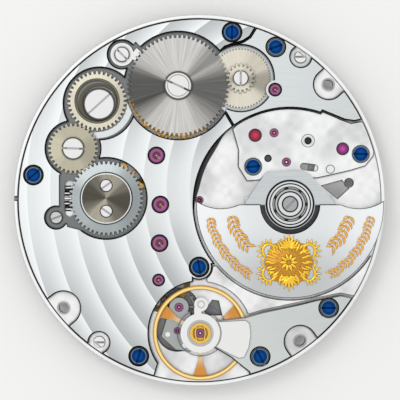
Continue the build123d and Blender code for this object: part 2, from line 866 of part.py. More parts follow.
def main_plate():
    plate = disc(centre, casing_radius, 0, plate_height)
    plate = chamfer(plate.faces().sort_by(Axis.Z)[-1].outer_wire().edges(), rim_chamfer)
    land = outline_px(land_px) & bridge_disc()
    land -= circle_face(rotor, well_radius)
    land -= circle_face(balance, balance_clearance_radius)
    land -= circle_face(at(bridge_screws_px["main"][2]), main_lobe_px * mm_per_px + bridge_gap)
    land = land.faces().sort_by(SortBy.AREA)[-1]
    plate += bevelled(land, plate_height - seat_gap, land_top, land_bevel)
    groove_outer = casing_radius - bridge_edge_inset + rim_groove_width
    groove = ring(centre, groove_outer, casing_radius - bridge_edge_inset,
                  plate_height - rim_groove_depth, plate_height + overrun)
    tools = plate_pockets() + stem_passage() + dial_recesses() + jewel_seats() + [groove]
    tools.append(disc(centre, centre_jewel_radius, centre_jewel_bottom, plate_height + overrun))
    tools.append(disc(centre, centre_arbor_radius + running_gap, 0, plate_height))
    tools.append(disc(ratchet, barrel_square_radius + pivot_gap, -overrun, barrel_bottom))
    tools.append(disc(rotor, rotor_post_radius, cavity_floor, plate_height + overrun))
    threads_px = [(x, y) for x, y, turn in all_bridge_screws] + dog_screws_px
    for place_px in threads_px:
        tools.append(disc(at(place_px), shank_radius + pivot_gap, shank_bottom - floor_gap,
                          land_top + overrun))
    for place, lobe in case_hole_places():
        tools.append(disc(place, case_hole_radius, -overrun, plate_height + overrun))
        tools.append(frustum(place, case_hole_radius, case_sink_radius, plate_height - case_sink_depth,
                             plate_height))
    tools.append(disc(at(lower_case_hole_px), case_hole_radius, -overrun, plate_height + overrun))
    tools.append(disc(at(setting_screw_px), lever_pivot_radius + pivot_gap, 0, plate_height + overrun))
    tools.append(raised(outline_px(wedge_px), wedge_floor, plate_height + overrun))
    tools.append(raised(outline_px(dark_pocket_px), cavity_floor, plate_height + overrun))
    for shares in dial_foot_shares:
        tools.append(disc(spread(shares), dial_foot_radius, -overrun, dial_foot_depth))
    for post in (minute, transfer, yoke_pivot):
        tools.append(disc(post, motion_stud_radius, 0, motion_stud_top))
    tools.append(disc(setting, motion_stud_radius, 0, setting_stud_top))
    tools.append(disc(cover_foot, cover_screw_shank, -overrun, cover_screw_top))
    return plate.cut(*tools)


# Bridges

def screw_sinks(places, top):
    tools = []
    for x, y, turn in places:
        floor = top - bridge_screw_head - bridge_screw_proud
        tools.append(sink(at((x, y)), bridge_screw_sink_radius, floor, top, bridge_bevel))
        tools.append(disc(at((x, y)), shank_radius + pivot_gap, 0, top))
    return tools


def jewel_tools(place, radius, top):
    # the seat of a jewel with its bevelled mouth, and the arbor's way up to it
    seat = sink(place, radius, bridge_jewel_low, top, bridge_bevel)
    return [seat, disc(place, arbor_radius + running_gap, 0, top)]


def open_edges(face):
    # what the bridges leave free at the rim: case-screw lobes and dog-screw notches
    for place, lobe in case_hole_places():
        turn = heading(centre, place)
        middle = step(place, lobe, turn)
        face -= Pos(middle[0], middle[1]) * Rot(0, 0, turn) * SlotCenterToCenter(lobe * 2, lobe * 2)
    for place_px in dog_screws_px:
        face -= circle_face(at(place_px), dog_notch_radius)
    return face


def bridge_disc():
    return Circle(casing_radius - bridge_edge_inset)


def barrel_train_bridge():
    lobe = at(bridge_screws_px["main"][2])
    face = bridge_disc() - circle_face(rotor, well_radius) - circle_face(balance, balance_clearance_radius)
    face -= offset(outline_px(automatic_bridge_px), bridge_gap, kind=Kind.INTERSECTION)
    face -= outline_px(main_tail_px) - circle_face(lobe, main_lobe_px * mm_per_px)
    face -= outline_px(main_foot_px)
    face = open_edges(face).faces().sort_by(SortBy.AREA)[-1]
    bridge = bevelled(face, plate_height, bridge_top, bridge_bevel)
    tools = [sink(ratchet, ratchet_recess_radius, winding_floor, bridge_top, bridge_bevel),
             sink(crown, crown_recess_radius, winding_floor, bridge_top, bridge_bevel),
             sink(small, small_recess_radius, winding_floor, bridge_top, bridge_bevel),
             sink(rocking_core, rocking_recess_radius, winding_floor, bridge_top, bridge_bevel),
             sink(click, click_recess_radius, winding_floor, bridge_top, bridge_bevel),
             click_spring_room(),
             raised(outline_px(left_sink_px), winding_floor, bridge_top + overrun),
             sink(setting_screw, setting_screw_sink, winding_floor, bridge_top, bridge_bevel),
             disc(setting_screw, lever_pivot_radius + pivot_gap, 0, bridge_top),
             disc(ratchet, barrel_arbor_radius + running_gap, 0, bridge_top),
             disc(auto_first, auto_recess_radius, 0, bridge_top + overrun),
             click_way(), barrel_window(), train_window(), winding_slot()]
    tools += screw_sinks(bridge_screws_px["main"], bridge_top)
    for place, radius in train_jewels:
        tools += jewel_tools(place, radius, bridge_top)
    for place, shank in core_threads():
        tools.append(disc(place, shank, plate_height + floor_gap, bridge_top))
    tools += stem_passage()[:1] + stem_passage()[2:3]
    return bridge.cut(*tools)


def click_spring_room():
    mouth = disc(click, click_radius, click_spring_bottom - seat_gap, winding_floor + overrun)
    return mouth - disc(click, click_shoulder_radius, 0, bridge_top + overrun)


def click_way():
    # the room of the click's beak beside the ratchet wheel
    room = ring(ratchet, click_room_radius, ratchet_recess_radius - running_gap, winding_floor,
                bridge_top + overrun)
    return room & sector(ratchet, click_room_start, click_room_end, winding_floor, bridge_top + overrun)


def barrel_window():
    # an arc-shaped window in the ratchet recess that shows the barrel's teeth
    band = ring(ratchet, ratchet_recess_radius, barrel_window_radius, 0, winding_floor + overrun)
    return band & sector(ratchet, barrel_window_start, barrel_window_end, 0, winding_floor + overrun)


def train_window():
    # a like window in the crown wheel's recess, over the first wheel's teeth
    band = ring(crown, crown_recess_radius, train_window_radius, 0, winding_floor + overrun)
    return band & sector(crown, train_window_start, train_window_end, 0, winding_floor + overrun)


def winding_slot():
    place = Pos(winding_pinion_start - pivot_gap + winding_slot_half_width, crown[1])
    slot = place * Rot(0, 0, 90) * SlotOverall(winding_slot_half_length * 2, winding_slot_half_width * 2)
    return raised(slot, 0, bridge_top + overrun)


def core_threads():
    # every thread in the barrel bridge under its recesses: place and radius
    threads = [(small, shank_radius), (rocking_core, shank_radius), (click, shank_radius)]
    for side in (-1, 1):
        threads.append((step(crown, core_screw_offset, side * 90), core_shank_radius))
    return threads


def automatic_bridge():
    face = outline_px(automatic_bridge_px) & bridge_disc()
    face -= circle_face(rotor, well_radius)
    face = open_edges(face).faces().sort_by(SortBy.AREA)[-1]
    bridge = bevelled(face, plate_height, bridge_top, bridge_bevel)
    floor = disc(auto_first, auto_recess_radius - running_gap, plate_height, auto_recess_floor)
    recess = sink(auto_first, auto_recess_radius, auto_recess_floor, bridge_top, bridge_bevel)
    boss = disc(auto_second, auto_boss_radius, auto_boss_bottom, bridge_top)
    room_radius = tooth_tip(auto_second_pinion_teeth, auto_first_module) + running_gap
    room = disc(auto_second, room_radius, 0, auto_boss_bottom)
    bridge = bridge + floor - (recess - boss) + dog_floor(at(dog_screws_px[0]))
    tools = [room, disc(auto_first, auto_thread_radius, 0, bridge_top)]
    tools += jewel_tools(auto_second, auto_jewel_radius, bridge_top)
    tools += screw_sinks(bridge_screws_px["automatic"], bridge_top)
    tools.append(disc(ratchet, ratchet_recess_radius, winding_floor, bridge_top + overrun))
    return bridge.cut(*tools)


def dog_floor(place):
    # the thin floor of a dog screw's notch, round the screw's collar
    floor = circle_face(place, dog_notch_radius + seat_gap) & bridge_disc()
    collar_hole = disc(place, dog_collar_radius + pivot_gap, plate_height - overrun, bridge_top)
    return raised(floor, plate_height, dog_floor_top) - collar_hole


def rotor_support_bridge():
    face = outline_px(support_px) & bridge_disc()
    kept_clear = offset(outline_px(automatic_bridge_px), bridge_gap)
    face -= kept_clear - circle_face(rotor, well_radius - bridge_gap)
    face -= circle_face(rotor, rotor_sleeve_outer + running_gap * 2)
    slot_start = at(support_slot_px[0])
    slot_end = at(support_slot_px[1])
    bridge = bevelled(face.faces().sort_by(SortBy.AREA)[-1], plate_height, support_top, bridge_bevel / 2)
    tools = [bar(slot_start, slot_end, support_slot_width, 0, support_top + overrun),
             disc(at(chrome_hole_px), chrome_hole_radius, plate_height + floor_gap, support_top + overrun),
             disc(at(blind_hole_px), blind_hole_radius, plate_height + floor_gap, support_top + overrun),
             disc(at(press_pin_px), press_pin_radius, plate_height, support_top + overrun)]
    for place, radius in ((red_stud, red_stud_radius), (violet_stud, violet_stud_radius)):
        tools.append(disc(place, radius, support_top - stud_height, support_top + overrun))
    for place in (auto_third, reverser):
        tools.append(disc(place, support_jewel_radius, support_jewel_bottom, support_top + overrun))
        tools.append(disc(place, arbor_radius + running_gap, 0, support_top))
    for x, y, turn in bridge_screws_px["support"]:
        place = at((x, y))
        tools.append(disc(place, bridge_screw_sink_radius, support_screw_floor, support_top + overrun))
        tools.append(disc(place, shank_radius + pivot_gap, 0, support_top))
    return bridge.cut(*tools)


def balance_cock():
    outer = circle_face(balance, balance_clearance_radius)
    face = outline_px(cock_px) & bridge_disc()
    face = open_edges(face).faces().sort_by(SortBy.AREA)[-1]
    cock = bevelled(face, plate_height, bridge_top, bridge_bevel)
    cock -= raised(outer, 0, cock_arm_bottom)
    cock += disc(balance, cock_disc_radius, cock_arm_bottom, cock_disc_top)
    cock -= ring(balance, cock_disc_radius, carrier_inner_radius - pivot_gap, cock_disc_top,
                 bridge_top + overrun)
    tools = screw_sinks(bridge_screws_px["cock"], bridge_top)
    tools.append(disc(balance, shock_radius + seat_gap, 0, bridge_top + overrun))
    return cock.cut(*tools)


def index_plate():
    face = outline_px(index_px) - circle_face(balance, cock_disc_radius + running_gap)
    face = face.faces().sort_by(SortBy.AREA)[-1]
    return bevelled(face, bridge_top, bridge_top + index_height, thin_bevel)


def pallet_bridge():
    face = outline_px(pallet_bridge_px) + circle_face(escape, escape_boss_radius)
    face = face.faces().sort_by(SortBy.AREA)[-1]
    bridge = bevelled(face, plate_height, pallet_bridge_top, thin_bevel)
    tools = [disc(escape, escape_jewel_radius, plate_height, pallet_bridge_top + overrun),
             disc(pallet, plate_jewel_radius, plate_height, pallet_bridge_top + overrun)]
    for place_px in pallet_pins_px:
        tools.append(disc(at(place_px), pallet_pin_radius, plate_height, pallet_bridge_top + overrun))
    return bridge.cut(*tools)


# Going train

def barrel():
    root = barrel_module * (barrel_teeth / 2 - dedendum_share)
    drum_radius = root - pivot_gap * 2
    top = barrel_bottom + barrel_height
    inner = drum_radius - barrel_wall
    drum = disc(ratchet, drum_radius, barrel_bottom, top)
    drum += toothed(ratchet, barrel_teeth, barrel_module, 0, barrel_toothed_bottom, barrel_toothed_top)
    drum -= disc(ratchet, inner, barrel_bottom + barrel_cover_height, top + overrun)
    drum -= disc(ratchet, barrel_square_radius + pivot_gap, 0, top)
    cover = ring(ratchet, inner, barrel_square_radius + pivot_gap, top - barrel_cover_height, top)
    return group(drum, cover)


def barrel_arbor():
    top = barrel_bottom + barrel_height
    lower = disc(ratchet, barrel_square_radius, floor_gap, winding_top - pivot_gap)
    hub = disc(ratchet, barrel_arbor_radius, barrel_bottom + barrel_cover_height + pivot_gap,
               top - barrel_cover_height - pivot_gap)
    collar = disc(ratchet, barrel_arbor_radius, plate_height, winding_bottom)
    return group(lower + hub + collar, ratchet_screw())


def mainspring():
    low = barrel_bottom + barrel_cover_height + floor_gap
    return spiral(ratchet, mainspring_first_radius, mainspring_pitch, mainspring_half_turns,
                  mainspring_thickness, low, mainspring_height)


def first_wheel():
    pinion_low = barrel_toothed_bottom - pinion_margin
    wheel = train_wheel(first, first_wheel_teeth, first_module, 0, high_layer)
    leaves = toothed(first, first_pinion_teeth, barrel_module, first_pinion_phase, pinion_low,
                     barrel_toothed_top + pivot_gap)
    return wheel + leaves + arbor(first, bridge_jewel_low, jewel_top(bridge_top))


def second_wheel():
    wheel = train_wheel(second, second_wheel_teeth, second_module, 0, middle_layer)
    leaves = pinion(second, second_pinion_teeth, first_module, second_pinion_phase, high_layer)
    shaft = disc(second, arbor_radius, cavity_floor + pivot_gap, bridge_jewel_low - pivot_gap)
    shaft += disc(second, pivot_radius, cavity_floor, jewel_top(bridge_top))
    driver_low = centre_wheel_bottom
    driver_high = driver_low + centre_wheel_height
    driver = toothed(second, minute_driver_teeth, driver_module, 0, driver_low, driver_high)
    shaft += disc(second, driver_arbor_radius, driver_low, cavity_floor + pivot_gap)
    return wheel + leaves + shaft + driver


def third_wheel():
    wheel = train_wheel(third, third_wheel_teeth, third_module, 0, low_layer)
    leaves = pinion(third, third_pinion_teeth, second_module, third_pinion_phase, middle_layer)
    return wheel + leaves + arbor(third, bridge_jewel_low, jewel_top(bridge_top))


def fourth_wheel():
    wheel = train_wheel(fourth, fourth_wheel_teeth, fourth_module, 0, high_layer)
    leaves = pinion(fourth, fourth_pinion_teeth, third_module, fourth_pinion_phase, low_layer)
    return wheel + leaves + arbor(fourth, bridge_jewel_low, jewel_top(bridge_top))


def escape_wheel():
    # twenty club teeth
    pitch = 360 / escape_teeth
    points = []
    for tooth in range(escape_teeth):
        middle = tooth * pitch
        points.append(polar(escape_root_radius, middle - pitch * club_root_share))
        points.append(polar(escape_tip_radius, middle))
        points.append(polar(escape_tip_radius - club_drop, middle + pitch * club_tip_share))
        points.append(polar(escape_root_radius, middle + pitch * club_heel_share))
    high = low_layer + wheel_thickness
    wheel = Pos(escape[0], escape[1], low_layer) * extrude(outline(points), wheel_thickness)
    rim_inner = escape_root_radius - crossing_rim / 2
    wheel = crossed(wheel, escape, rim_inner, crossing_hub, 4, 0, low_layer, high)
    leaves = pinion(escape, escape_pinion_teeth, fourth_module, escape_pinion_phase, high_layer)
    return wheel + leaves + arbor(escape, escape_jewel_low, jewel_top(pallet_bridge_top))


def pallet_fork():
    low = low_layer + wheel_thickness + pivot_gap
    high = low + pallet_height
    to_balance = heading(pallet, balance)
    body = bar(pallet, step(pallet, fork_length - fork_gap, to_balance), pallet_width, low, high)
    horns = bar(step(pallet, fork_length - fork_gap, to_balance), step(pallet, fork_length, to_balance),
                pallet_width + fork_gap * 2, low, high)
    notch_place = Pos(*step(pallet, fork_length, to_balance), low) * Rot(0, 0, to_balance)
    horns -= notch_place * Box(fork_gap * 2, fork_gap, (pallet_height + overrun) * 2)
    fork = body + horns
    for stone in pallet_stone_places():
        fork += bar(pallet, stone, pallet_width, low, high)
    fork += arbor(pallet, escape_jewel_low, jewel_top(pallet_bridge_top), pallet_width / 2)
    stones = pallet_stones()
    return group(fork.cut(*stones), *stones)


def pallet_stone_places():
    line = heading(escape, pallet)
    radius = escape_tip_radius + stone_width
    return [step(escape, radius, line - pallet_spread), step(escape, radius, line + pallet_spread)]


def pallet_stones():
    stones = []
    low = low_layer
    for place in pallet_stone_places():
        seat = Pos(place[0], place[1], low) * Rot(0, 0, heading(escape, place))
        stones.append(seat * Box(stone_width, stone_length, wheel_thickness + pivot_gap, align=standing))
    return stones


# Balance

def balance_wheel():
    rim_inner = balance_radius - balance_rim_width
    rim = ring(balance, balance_radius, rim_inner, balance_rim_bottom, balance_rim_top)
    wheel = rim + disc(balance, balance_hub_radius, balance_arm_bottom, balance_arm_top)
    reach = balance_radius - balance_rim_width / 2
    for arm in range(balance_arms):
        turn = balance_first_arm + arm * 360 / balance_arms
        side = [(0, balance_arm_root_width / 2), (reach * balance_flare_share, balance_arm_root_width / 2),
                (reach, balance_arm_end_width / 2)]
        mirrored = [(along, -across) for along, across in reversed(side)]
        place = Pos(balance[0], balance[1], balance_arm_bottom) * Rot(0, 0, turn)
        blade = place * extrude(outline(side + mirrored), balance_arm_top - balance_arm_bottom)
        wheel += blade & disc(balance, reach, balance_arm_bottom, balance_arm_top)
    return wheel - disc(balance, staff_radius, 0, bridge_top)


def balance_staff():
    staff = disc(balance, staff_radius, cavity_floor, cock_disc_top - shock_jewel_height)
    staff += disc(balance, pivot_radius, plate_pivot_low, cock_disc_top)
    staff += disc(balance, roller_radius, roller_bottom, roller_bottom + roller_height)
    pin = step(balance, impulse_pin_reach, heading(balance, pallet))
    staff += disc(pin, impulse_pin_radius, low_layer + wheel_thickness, roller_bottom)
    collet_radius = hairspring_first_radius - hairspring_thickness / 2 - floor_gap
    staff += disc(balance, collet_radius, balance_arm_top, hairspring_bottom + hairspring_height)
    nub_reach = hairspring_first_radius - hairspring_thickness / 2
    nub = bar(balance, step(balance, nub_reach, heading(balance, stud)), hairspring_thickness,
              hairspring_bottom, hairspring_bottom + hairspring_height)
    return staff + nub


def hairspring():
    place = Pos(balance[0], balance[1], 0) * Rot(0, 0, heading(balance, stud))
    return place * spiral((0, 0), hairspring_first_radius, hairspring_pitch, hairspring_half_turns,
                          hairspring_thickness, hairspring_bottom, hairspring_height)


def hairspring_stud():
    pin = disc(stud, stud_pin_radius, hairspring_bottom - hairspring_clear, carrier_top + index_height)
    reach = distance(balance, stud)
    slot = ring(balance, reach + hairspring_thickness, reach - hairspring_thickness,
                hairspring_bottom - overrun, hairspring_bottom + hairspring_height + hairspring_clear)
    return pin - slot


def stud_carrier():
    carrier = ring(balance, cock_disc_radius - pivot_gap, carrier_inner_radius, cock_disc_top, carrier_top)
    arm = raised(outline_px(carrier_arm_px), cock_disc_top, carrier_top)
    arm -= disc(balance, carrier_inner_radius + pivot_gap, 0, carrier_top + overrun)
    carrier += arm + disc(stud, carrier_end_radius, cock_disc_top, carrier_top)
    return group(carrier - disc(stud, stud_pin_radius, 0, carrier_top + overrun), hairspring_stud())


def shock_setting():
    block = disc(balance, shock_radius, cock_arm_bottom, shock_top)
    block -= disc(balance, shock_radius - shock_wall, cock_disc_top, shock_top + overrun)
    block -= disc(balance, shock_jewel_radius, cock_disc_top - shock_jewel_height, shock_top)
    return block - disc(balance, staff_radius + running_gap, 0, shock_top)


def shock_jewel():
    return jewel(balance, shock_jewel_radius, cock_disc_top - shock_jewel_height + pivot_gap,
                 cock_disc_top + jewel_sink_depth)


def shock_spring():
    # a lyre: a wire ring with two inner bars, held down under the setting's wall
    low = cock_disc_top + jewel_sink_depth + pivot_gap
    high = low + shock_spring_width / 2
    outer = shock_radius - shock_wall
    lyre = ring(balance, outer, outer - shock_spring_width, low, high)
    for side in (-1, 1):
        start = step(balance, outer - shock_spring_width / 2, 90 + side * lyre_half_angle)
        end = step(balance, outer - shock_spring_width / 2, 270 - side * lyre_half_angle)
        waist = step(balance, shock_jewel_radius * lyre_waist_share, 90 + side * 90)
        lyre += bar(start, waist, shock_spring_width, low, high)
        lyre += bar(waist, end, shock_spring_width, low, high)
    return lyre


# Winding work

def ratchet_wheel():
    wheel = toothed(ratchet, ratchet_teeth, winding_module, ratchet_phase, winding_bottom, winding_top)
    return wheel - disc(ratchet, barrel_square_radius + seat_gap, 0, winding_top + overrun)


def capped(place, radius, shoulder, low, slot_angle, shank=shank_radius):
    # a shouldered screw whose head holds a winding wheel down
    head_low = winding_top + pivot_gap
    body = screw(place, radius, head_low, head_low + cap_height, low, slot_angle, shank)
    return body + disc(place, shoulder, winding_floor, head_low)


def ratchet_screw():
    body = screw(ratchet, ratchet_screw_radius, winding_top, winding_top + cap_height,
                 winding_top - pivot_gap, ratchet_slot_angle)
    groove = ring(ratchet, ratchet_ring_outer, ratchet_ring_inner, winding_top + cap_height / 2,
                  winding_top + overrun)
    return body - groove


def crown_wheel():
    wheel = toothed(crown, crown_teeth, winding_module, crown_phase, winding_bottom, winding_top)
    return wheel - disc(crown, crown_hub_radius + pivot_gap, 0, winding_top + overrun)


def crown_core():
    flange_low = winding_top + pivot_gap
    core = disc(crown, crown_hub_radius, winding_floor, flange_low)
    core += disc(crown, crown_core_radius, flange_low, flange_low + crown_flange_height)
    for side in (-1, 1):
        place = step(crown, core_screw_offset, side * 90)
        core -= disc(place, core_screw_radius + pivot_gap, core_screw_floor, winding_top + overrun)
        core -= disc(place, core_shank_radius, 0, core_screw_floor)
    return core


def crown_core_screws():
    top = winding_top + crown_flange_height - pivot_gap
    screws = []
    for side in (-1, 1):
        place = step(crown, core_screw_offset, side * 90)
        screws.append(screw(place, core_screw_radius, core_screw_floor, top, plate_height + floor_gap,
                            core_slot_angle * side, core_shank_radius))
    return screws


def small_intermediate_wheel():
    wheel = toothed(small, small_teeth, winding_module, small_phase, winding_bottom, winding_top)
    return wheel - disc(small, small_shoulder_radius + pivot_gap, 0, winding_top + overrun)


def rocking_wheel():
    wheel = toothed(rocking, rocking_teeth, winding_module, rocking_phase, winding_bottom, winding_top)
    return wheel - disc(rocking, rocking_bush_outer + pivot_gap, 0, winding_top + overrun)


def rocking_bush():
    return ring(rocking, rocking_bush_outer, rocking_bush_inner, winding_bottom,
                winding_top - rocking_bush_step)


def auto_reduction_wheel():
    top = auto_wheel_bottom + wheel_thickness
    wheel = toothed(auto_first, auto_wheel_teeth, auto_first_module, 0, auto_wheel_bottom, top)
    wheel += toothed(auto_first, auto_pinion_teeth, winding_module, auto_pinion_phase, top, winding_top)
    return wheel - disc(auto_first, auto_post_radius + pivot_gap, 0, winding_top + overrun)


def auto_wheel_screw():
    head_low = winding_top + pivot_gap
    body = screw(auto_first, auto_screw_radius, head_low, head_low + cap_height, plate_height + floor_gap,
                 auto_slot_angle, auto_thread_radius)
    return body + disc(auto_first, auto_post_radius, auto_recess_floor, head_low)


def click_wheel():
    # a ring with a beak whose teeth rest in the ratchet wheel's
    body = disc(click, click_radius, click_bottom, winding_top)
    ratchet_tip = tooth_tip(ratchet_teeth, winding_module)
    beak_tip = ratchet_tip - click_bite
    band = ring(ratchet, ratchet_tip + click_beak_width, beak_tip, click_bottom, winding_top)
    body += band & sector(ratchet, click_beak_start, click_beak_end, click_bottom, winding_top)
    wide = winding_module * (1 + click_clear_share)
    teeth = toothed_face(ratchet_teeth, wide, ratchet_phase)
    body -= Pos(ratchet[0], ratchet[1], 0) * extrude(teeth, winding_top + overrun)
    return body - disc(click, click_shoulder_radius + pivot_gap, 0, winding_top + overrun)


def click_spring():
    low = click_spring_bottom
    high = low + click_spring_height
    coil = ring(click, click_spring_radius, click_spring_radius - click_spring_width, low, high)
    return coil - sector(click, click_spring_gap_start, click_spring_gap_end, 0, high + overrun)


def winding_pinion():
    leaves = extrude(toothed_face(winding_pinion_teeth, winding_module, 0), winding_pinion_length)
    hub = Cylinder(winding_pinion_hub_radius, winding_pinion_hub_length, align=standing)
    leaves += Pos(0, 0, winding_pinion_length) * hub
    length = winding_pinion_length + winding_pinion_hub_length
    leaves -= Cylinder(stem_pilot_radius, length * 2 + overrun)
    return Pos(winding_pinion_start, crown[1], stem_axis_height) * Rot(0, 90, 0) * leaves


def sliding_clutch():
    body = Cylinder(clutch_radius, clutch_length)
    groove = Cylinder(clutch_radius + overrun, clutch_groove_width)
    groove -= Cylinder(clutch_groove_radius, clutch_length)
    square = Box(clutch_square_radius * 2, clutch_square_radius * 2, clutch_length + overrun)
    body -= [groove, square]
    for tooth in range(clutch_teeth):
        notch = Pos(clutch_radius, 0, clutch_length / 2) * Box(clutch_radius, clutch_notch, clutch_notch)
        body -= Rot(0, 0, tooth * 360 / clutch_teeth) * notch
    return Pos(clutch_middle, crown[1], stem_axis_height) * Rot(0, 90, 0) * body


# Dial side

def setting_lever():
    high = lever_bottom + lever_height
    lever = bar(setting_screw, lever_pin, lever_width, lever_bottom, high)
    lever += bar(setting_screw, lever_nose, lever_width, lever_bottom, high)
    lever += disc(setting_screw, lever_hub_radius, lever_bottom, dial_pocket_depth - pivot_gap)
    lever += disc(lever_pin, lever_pin_radius, high - pivot_gap, lever_pin_top)
    lever -= disc(setting_screw, lever_pivot_radius, 0, dial_pocket_depth)
    return group(lever, setting_lever_screw())


def setting_lever_screw():
    return screw(setting_screw, lever_screw_radius, winding_floor + pivot_gap, winding_top, lever_bottom,
                 setting_slot_angle, lever_pivot_radius)


def yoke():
    high = lever_bottom + lever_height
    nose = (clutch_middle, crown[1] - yoke_nose_setback)
    body = bar(yoke_pivot, nose, lever_width, lever_bottom, high)
    body += bar(yoke_pivot, yoke_tail, lever_width, lever_bottom, high)
    body += disc(yoke_pivot, lever_width, lever_bottom, high)
    finger_height = yoke_nose_height - high + pivot_gap + lever_height
    finger = Box(yoke_nose_width, lever_width, finger_height, align=standing)
    body += Pos(clutch_middle, nose[1], high - pivot_gap) * finger
    return body - disc(yoke_pivot, motion_stud_radius + pivot_gap, 0, high + overrun)


def cover_bars(low, high, margin):
    width = cover_width + margin * 2
    return [bar(cover_foot, spread(cover_end), width, low, high) for cover_end in cover_end_shares]


def setting_lever_cover():
    first_bar, second_bar = cover_bars(cover_bottom, cover_bottom + cover_height, 0)
    screw_hole = disc(cover_foot, cover_screw_shank + pivot_gap, -overrun, overrun)
    return group(first_bar + second_bar - screw_hole, cover_screw())


def cover_screw():
    head = disc(cover_foot, cover_screw_head, 0, cover_bottom)
    slot_length = (cover_screw_head + overrun) * 2
    slot = Pos(cover_foot[0], cover_foot[1], 0) * Box(slot_length, slot_width / 2, cover_bottom)
    return head - slot + disc(cover_foot, cover_screw_shank, cover_bottom, cover_screw_top - pivot_gap)


def on_stud(place, teeth, phase, low, high):
    wheel = toothed(place, teeth, motion_module, phase, low, high)
    return wheel - disc(place, motion_stud_radius + pivot_gap, -overrun, plate_height)


def transfer_wheel():
    return on_stud(transfer, transfer_teeth, transfer_phase, motion_bottom, motion_bottom + motion_height)


def setting_wheel():
    return on_stud(setting, setting_teeth, setting_phase, motion_bottom, setting_wheel_top)


def minute_wheel():
    wheel = on_stud(minute, minute_teeth, minute_phase, motion_bottom, motion_bottom + motion_height)
    leaves = toothed(minute, minute_pinion_teeth, hour_module, 0, hour_bottom, motion_bottom)
    return wheel + (leaves - disc(minute, motion_stud_radius + pivot_gap, 0, motion_bottom + overrun))


def hour_wheel():
    wheel = toothed(centre, hour_teeth, hour_module, hour_phase, hour_bottom, hour_bottom + hour_height)
    wheel += disc(centre, hour_pipe_radius, hour_pipe_bottom, hour_bottom + hour_height)
    return wheel - disc(centre, cannon_radius + pivot_gap, hour_pipe_bottom - overrun, overrun)


def cannon_pinion():
    high = motion_bottom + motion_height + pivot_gap
    body = toothed(centre, cannon_teeth, motion_module, 0, motion_bottom - pivot_gap, high)
    body += disc(centre, cannon_radius, minute_shoulder, motion_bottom - pivot_gap)
    body += disc(centre, minute_seat_radius, cannon_bottom, minute_shoulder)
    return body - disc(centre, cannon_bore_radius, cannon_bottom - overrun, high + overrun)


def centre_wheel():
    top = centre_wheel_bottom + centre_wheel_height
    wheel = toothed(centre, centre_wheel_teeth, driver_module, centre_wheel_phase,
                    centre_wheel_bottom, top)
    wheel += disc(centre, cannon_bore_radius - seat_gap, cannon_bottom + floor_gap, top)
    wheel += disc(centre, centre_arbor_radius, top, centre_jewel_bottom - pivot_gap)
    return wheel + disc(centre, pivot_radius, top, plate_height - pivot_gap)


def motion_studs():
    studs = []
    for place in (minute, yoke_pivot):
        studs.append(disc(place, motion_stud_radius, hour_bottom, motion_stud_top))
    head_top = motion_stud_bottom + motion_stud_head
    for place, top in ((transfer, motion_stud_top), (setting, setting_stud_top)):
        head = disc(place, motion_stud_head_radius, motion_stud_bottom, head_top)
        studs.append(head + disc(place, motion_stud_radius, motion_stud_bottom, top))
    return studs


# Automatic train

def auto_second_wheel():
    wheel = train_wheel(auto_second, auto_second_wheel_teeth, auto_second_module, 0, low_layer)
    top = auto_wheel_bottom + wheel_thickness + pinion_margin
    wheel += toothed(auto_second, auto_second_pinion_teeth, auto_first_module, auto_second_phase,
                     auto_wheel_bottom - pinion_margin, top)
    return wheel + arbor(auto_second, bridge_jewel_low, jewel_top(bridge_top))


def auto_third_wheel():
    wheel = train_wheel(auto_third, auto_third_wheel_teeth, auto_third_module, 0, middle_layer)
    wheel += pinion(auto_third, auto_third_pinion_teeth, auto_second_module, auto_third_phase, low_layer)
    return wheel + arbor(auto_third, support_jewel_bottom, jewel_top(support_top))


def reverser_pinion():
    leaves = pinion(reverser, reverser_pinion_teeth, auto_third_module, reverser_pinion_phase,
                    middle_layer)
    return leaves + arbor(reverser, support_jewel_bottom, jewel_top(support_top))


def reverser_wheel():
    wheel = train_wheel(reverser, reverser_wheel_teeth, rotor_module, 0, high_layer)
    return wheel - disc(reverser, arbor_radius + pivot_gap, 0, plate_height)


# Micro-rotor

def ball_groove():
    return Pos(rotor[0], rotor[1], ball_height) * Torus(ball_orbit, ball_radius + pivot_gap / 2)


def bearing_core():
    # the plate's post and the bearing's inner ring on top of it
    post = disc(rotor, rotor_post_radius, cavity_floor, bearing_bottom)
    post -= disc(rotor, shank_radius, rotor_thread_bottom, bearing_bottom + overrun)
    core = ring(rotor, bearing_core_radius, shank_radius + pivot_gap, bearing_bottom, bearing_top)
    lines = ring(rotor, bearing_line_radius, bearing_line_radius - bearing_line_width,
                 bearing_top - bearing_line_width, bearing_top + overrun)
    return group(post, core - lines - ball_groove(), rotor_screw())


def bearing_outer_ring():
    outer = ring(rotor, bearing_radius, bearing_inner_wall, bearing_bottom, bearing_top)
    lines = ring(rotor, bearing_outer_line_radius, bearing_outer_line_radius - bearing_line_width,
                 bearing_top - bearing_line_width, bearing_top + overrun)
    return outer - lines - ball_groove()


def bearing_balls():
    balls = []
    for ball in range(ball_count):
        place = step(rotor, ball_orbit, ball * 360 / ball_count)
        balls.append(Pos(place[0], place[1], ball_height) * Sphere(ball_radius))
    return group(*balls)


def rotor_pinion():
    leaves = pinion(rotor, rotor_pinion_teeth, rotor_module, rotor_pinion_phase, high_layer)
    sleeve_top = bearing_bottom - pivot_gap
    sleeve = disc(rotor, rotor_sleeve_outer, high_layer, sleeve_top)
    flange = disc(rotor, bearing_radius - pivot_gap, sleeve_top - rotor_flange_height, sleeve_top)
    seat = ring(rotor, bearing_radius - pivot_gap, bearing_inner_wall + pivot_gap, sleeve_top,
                bearing_bottom)
    return leaves + sleeve + flange + seat - disc(rotor, rotor_sleeve_inner, 0, sleeve_top + overrun)


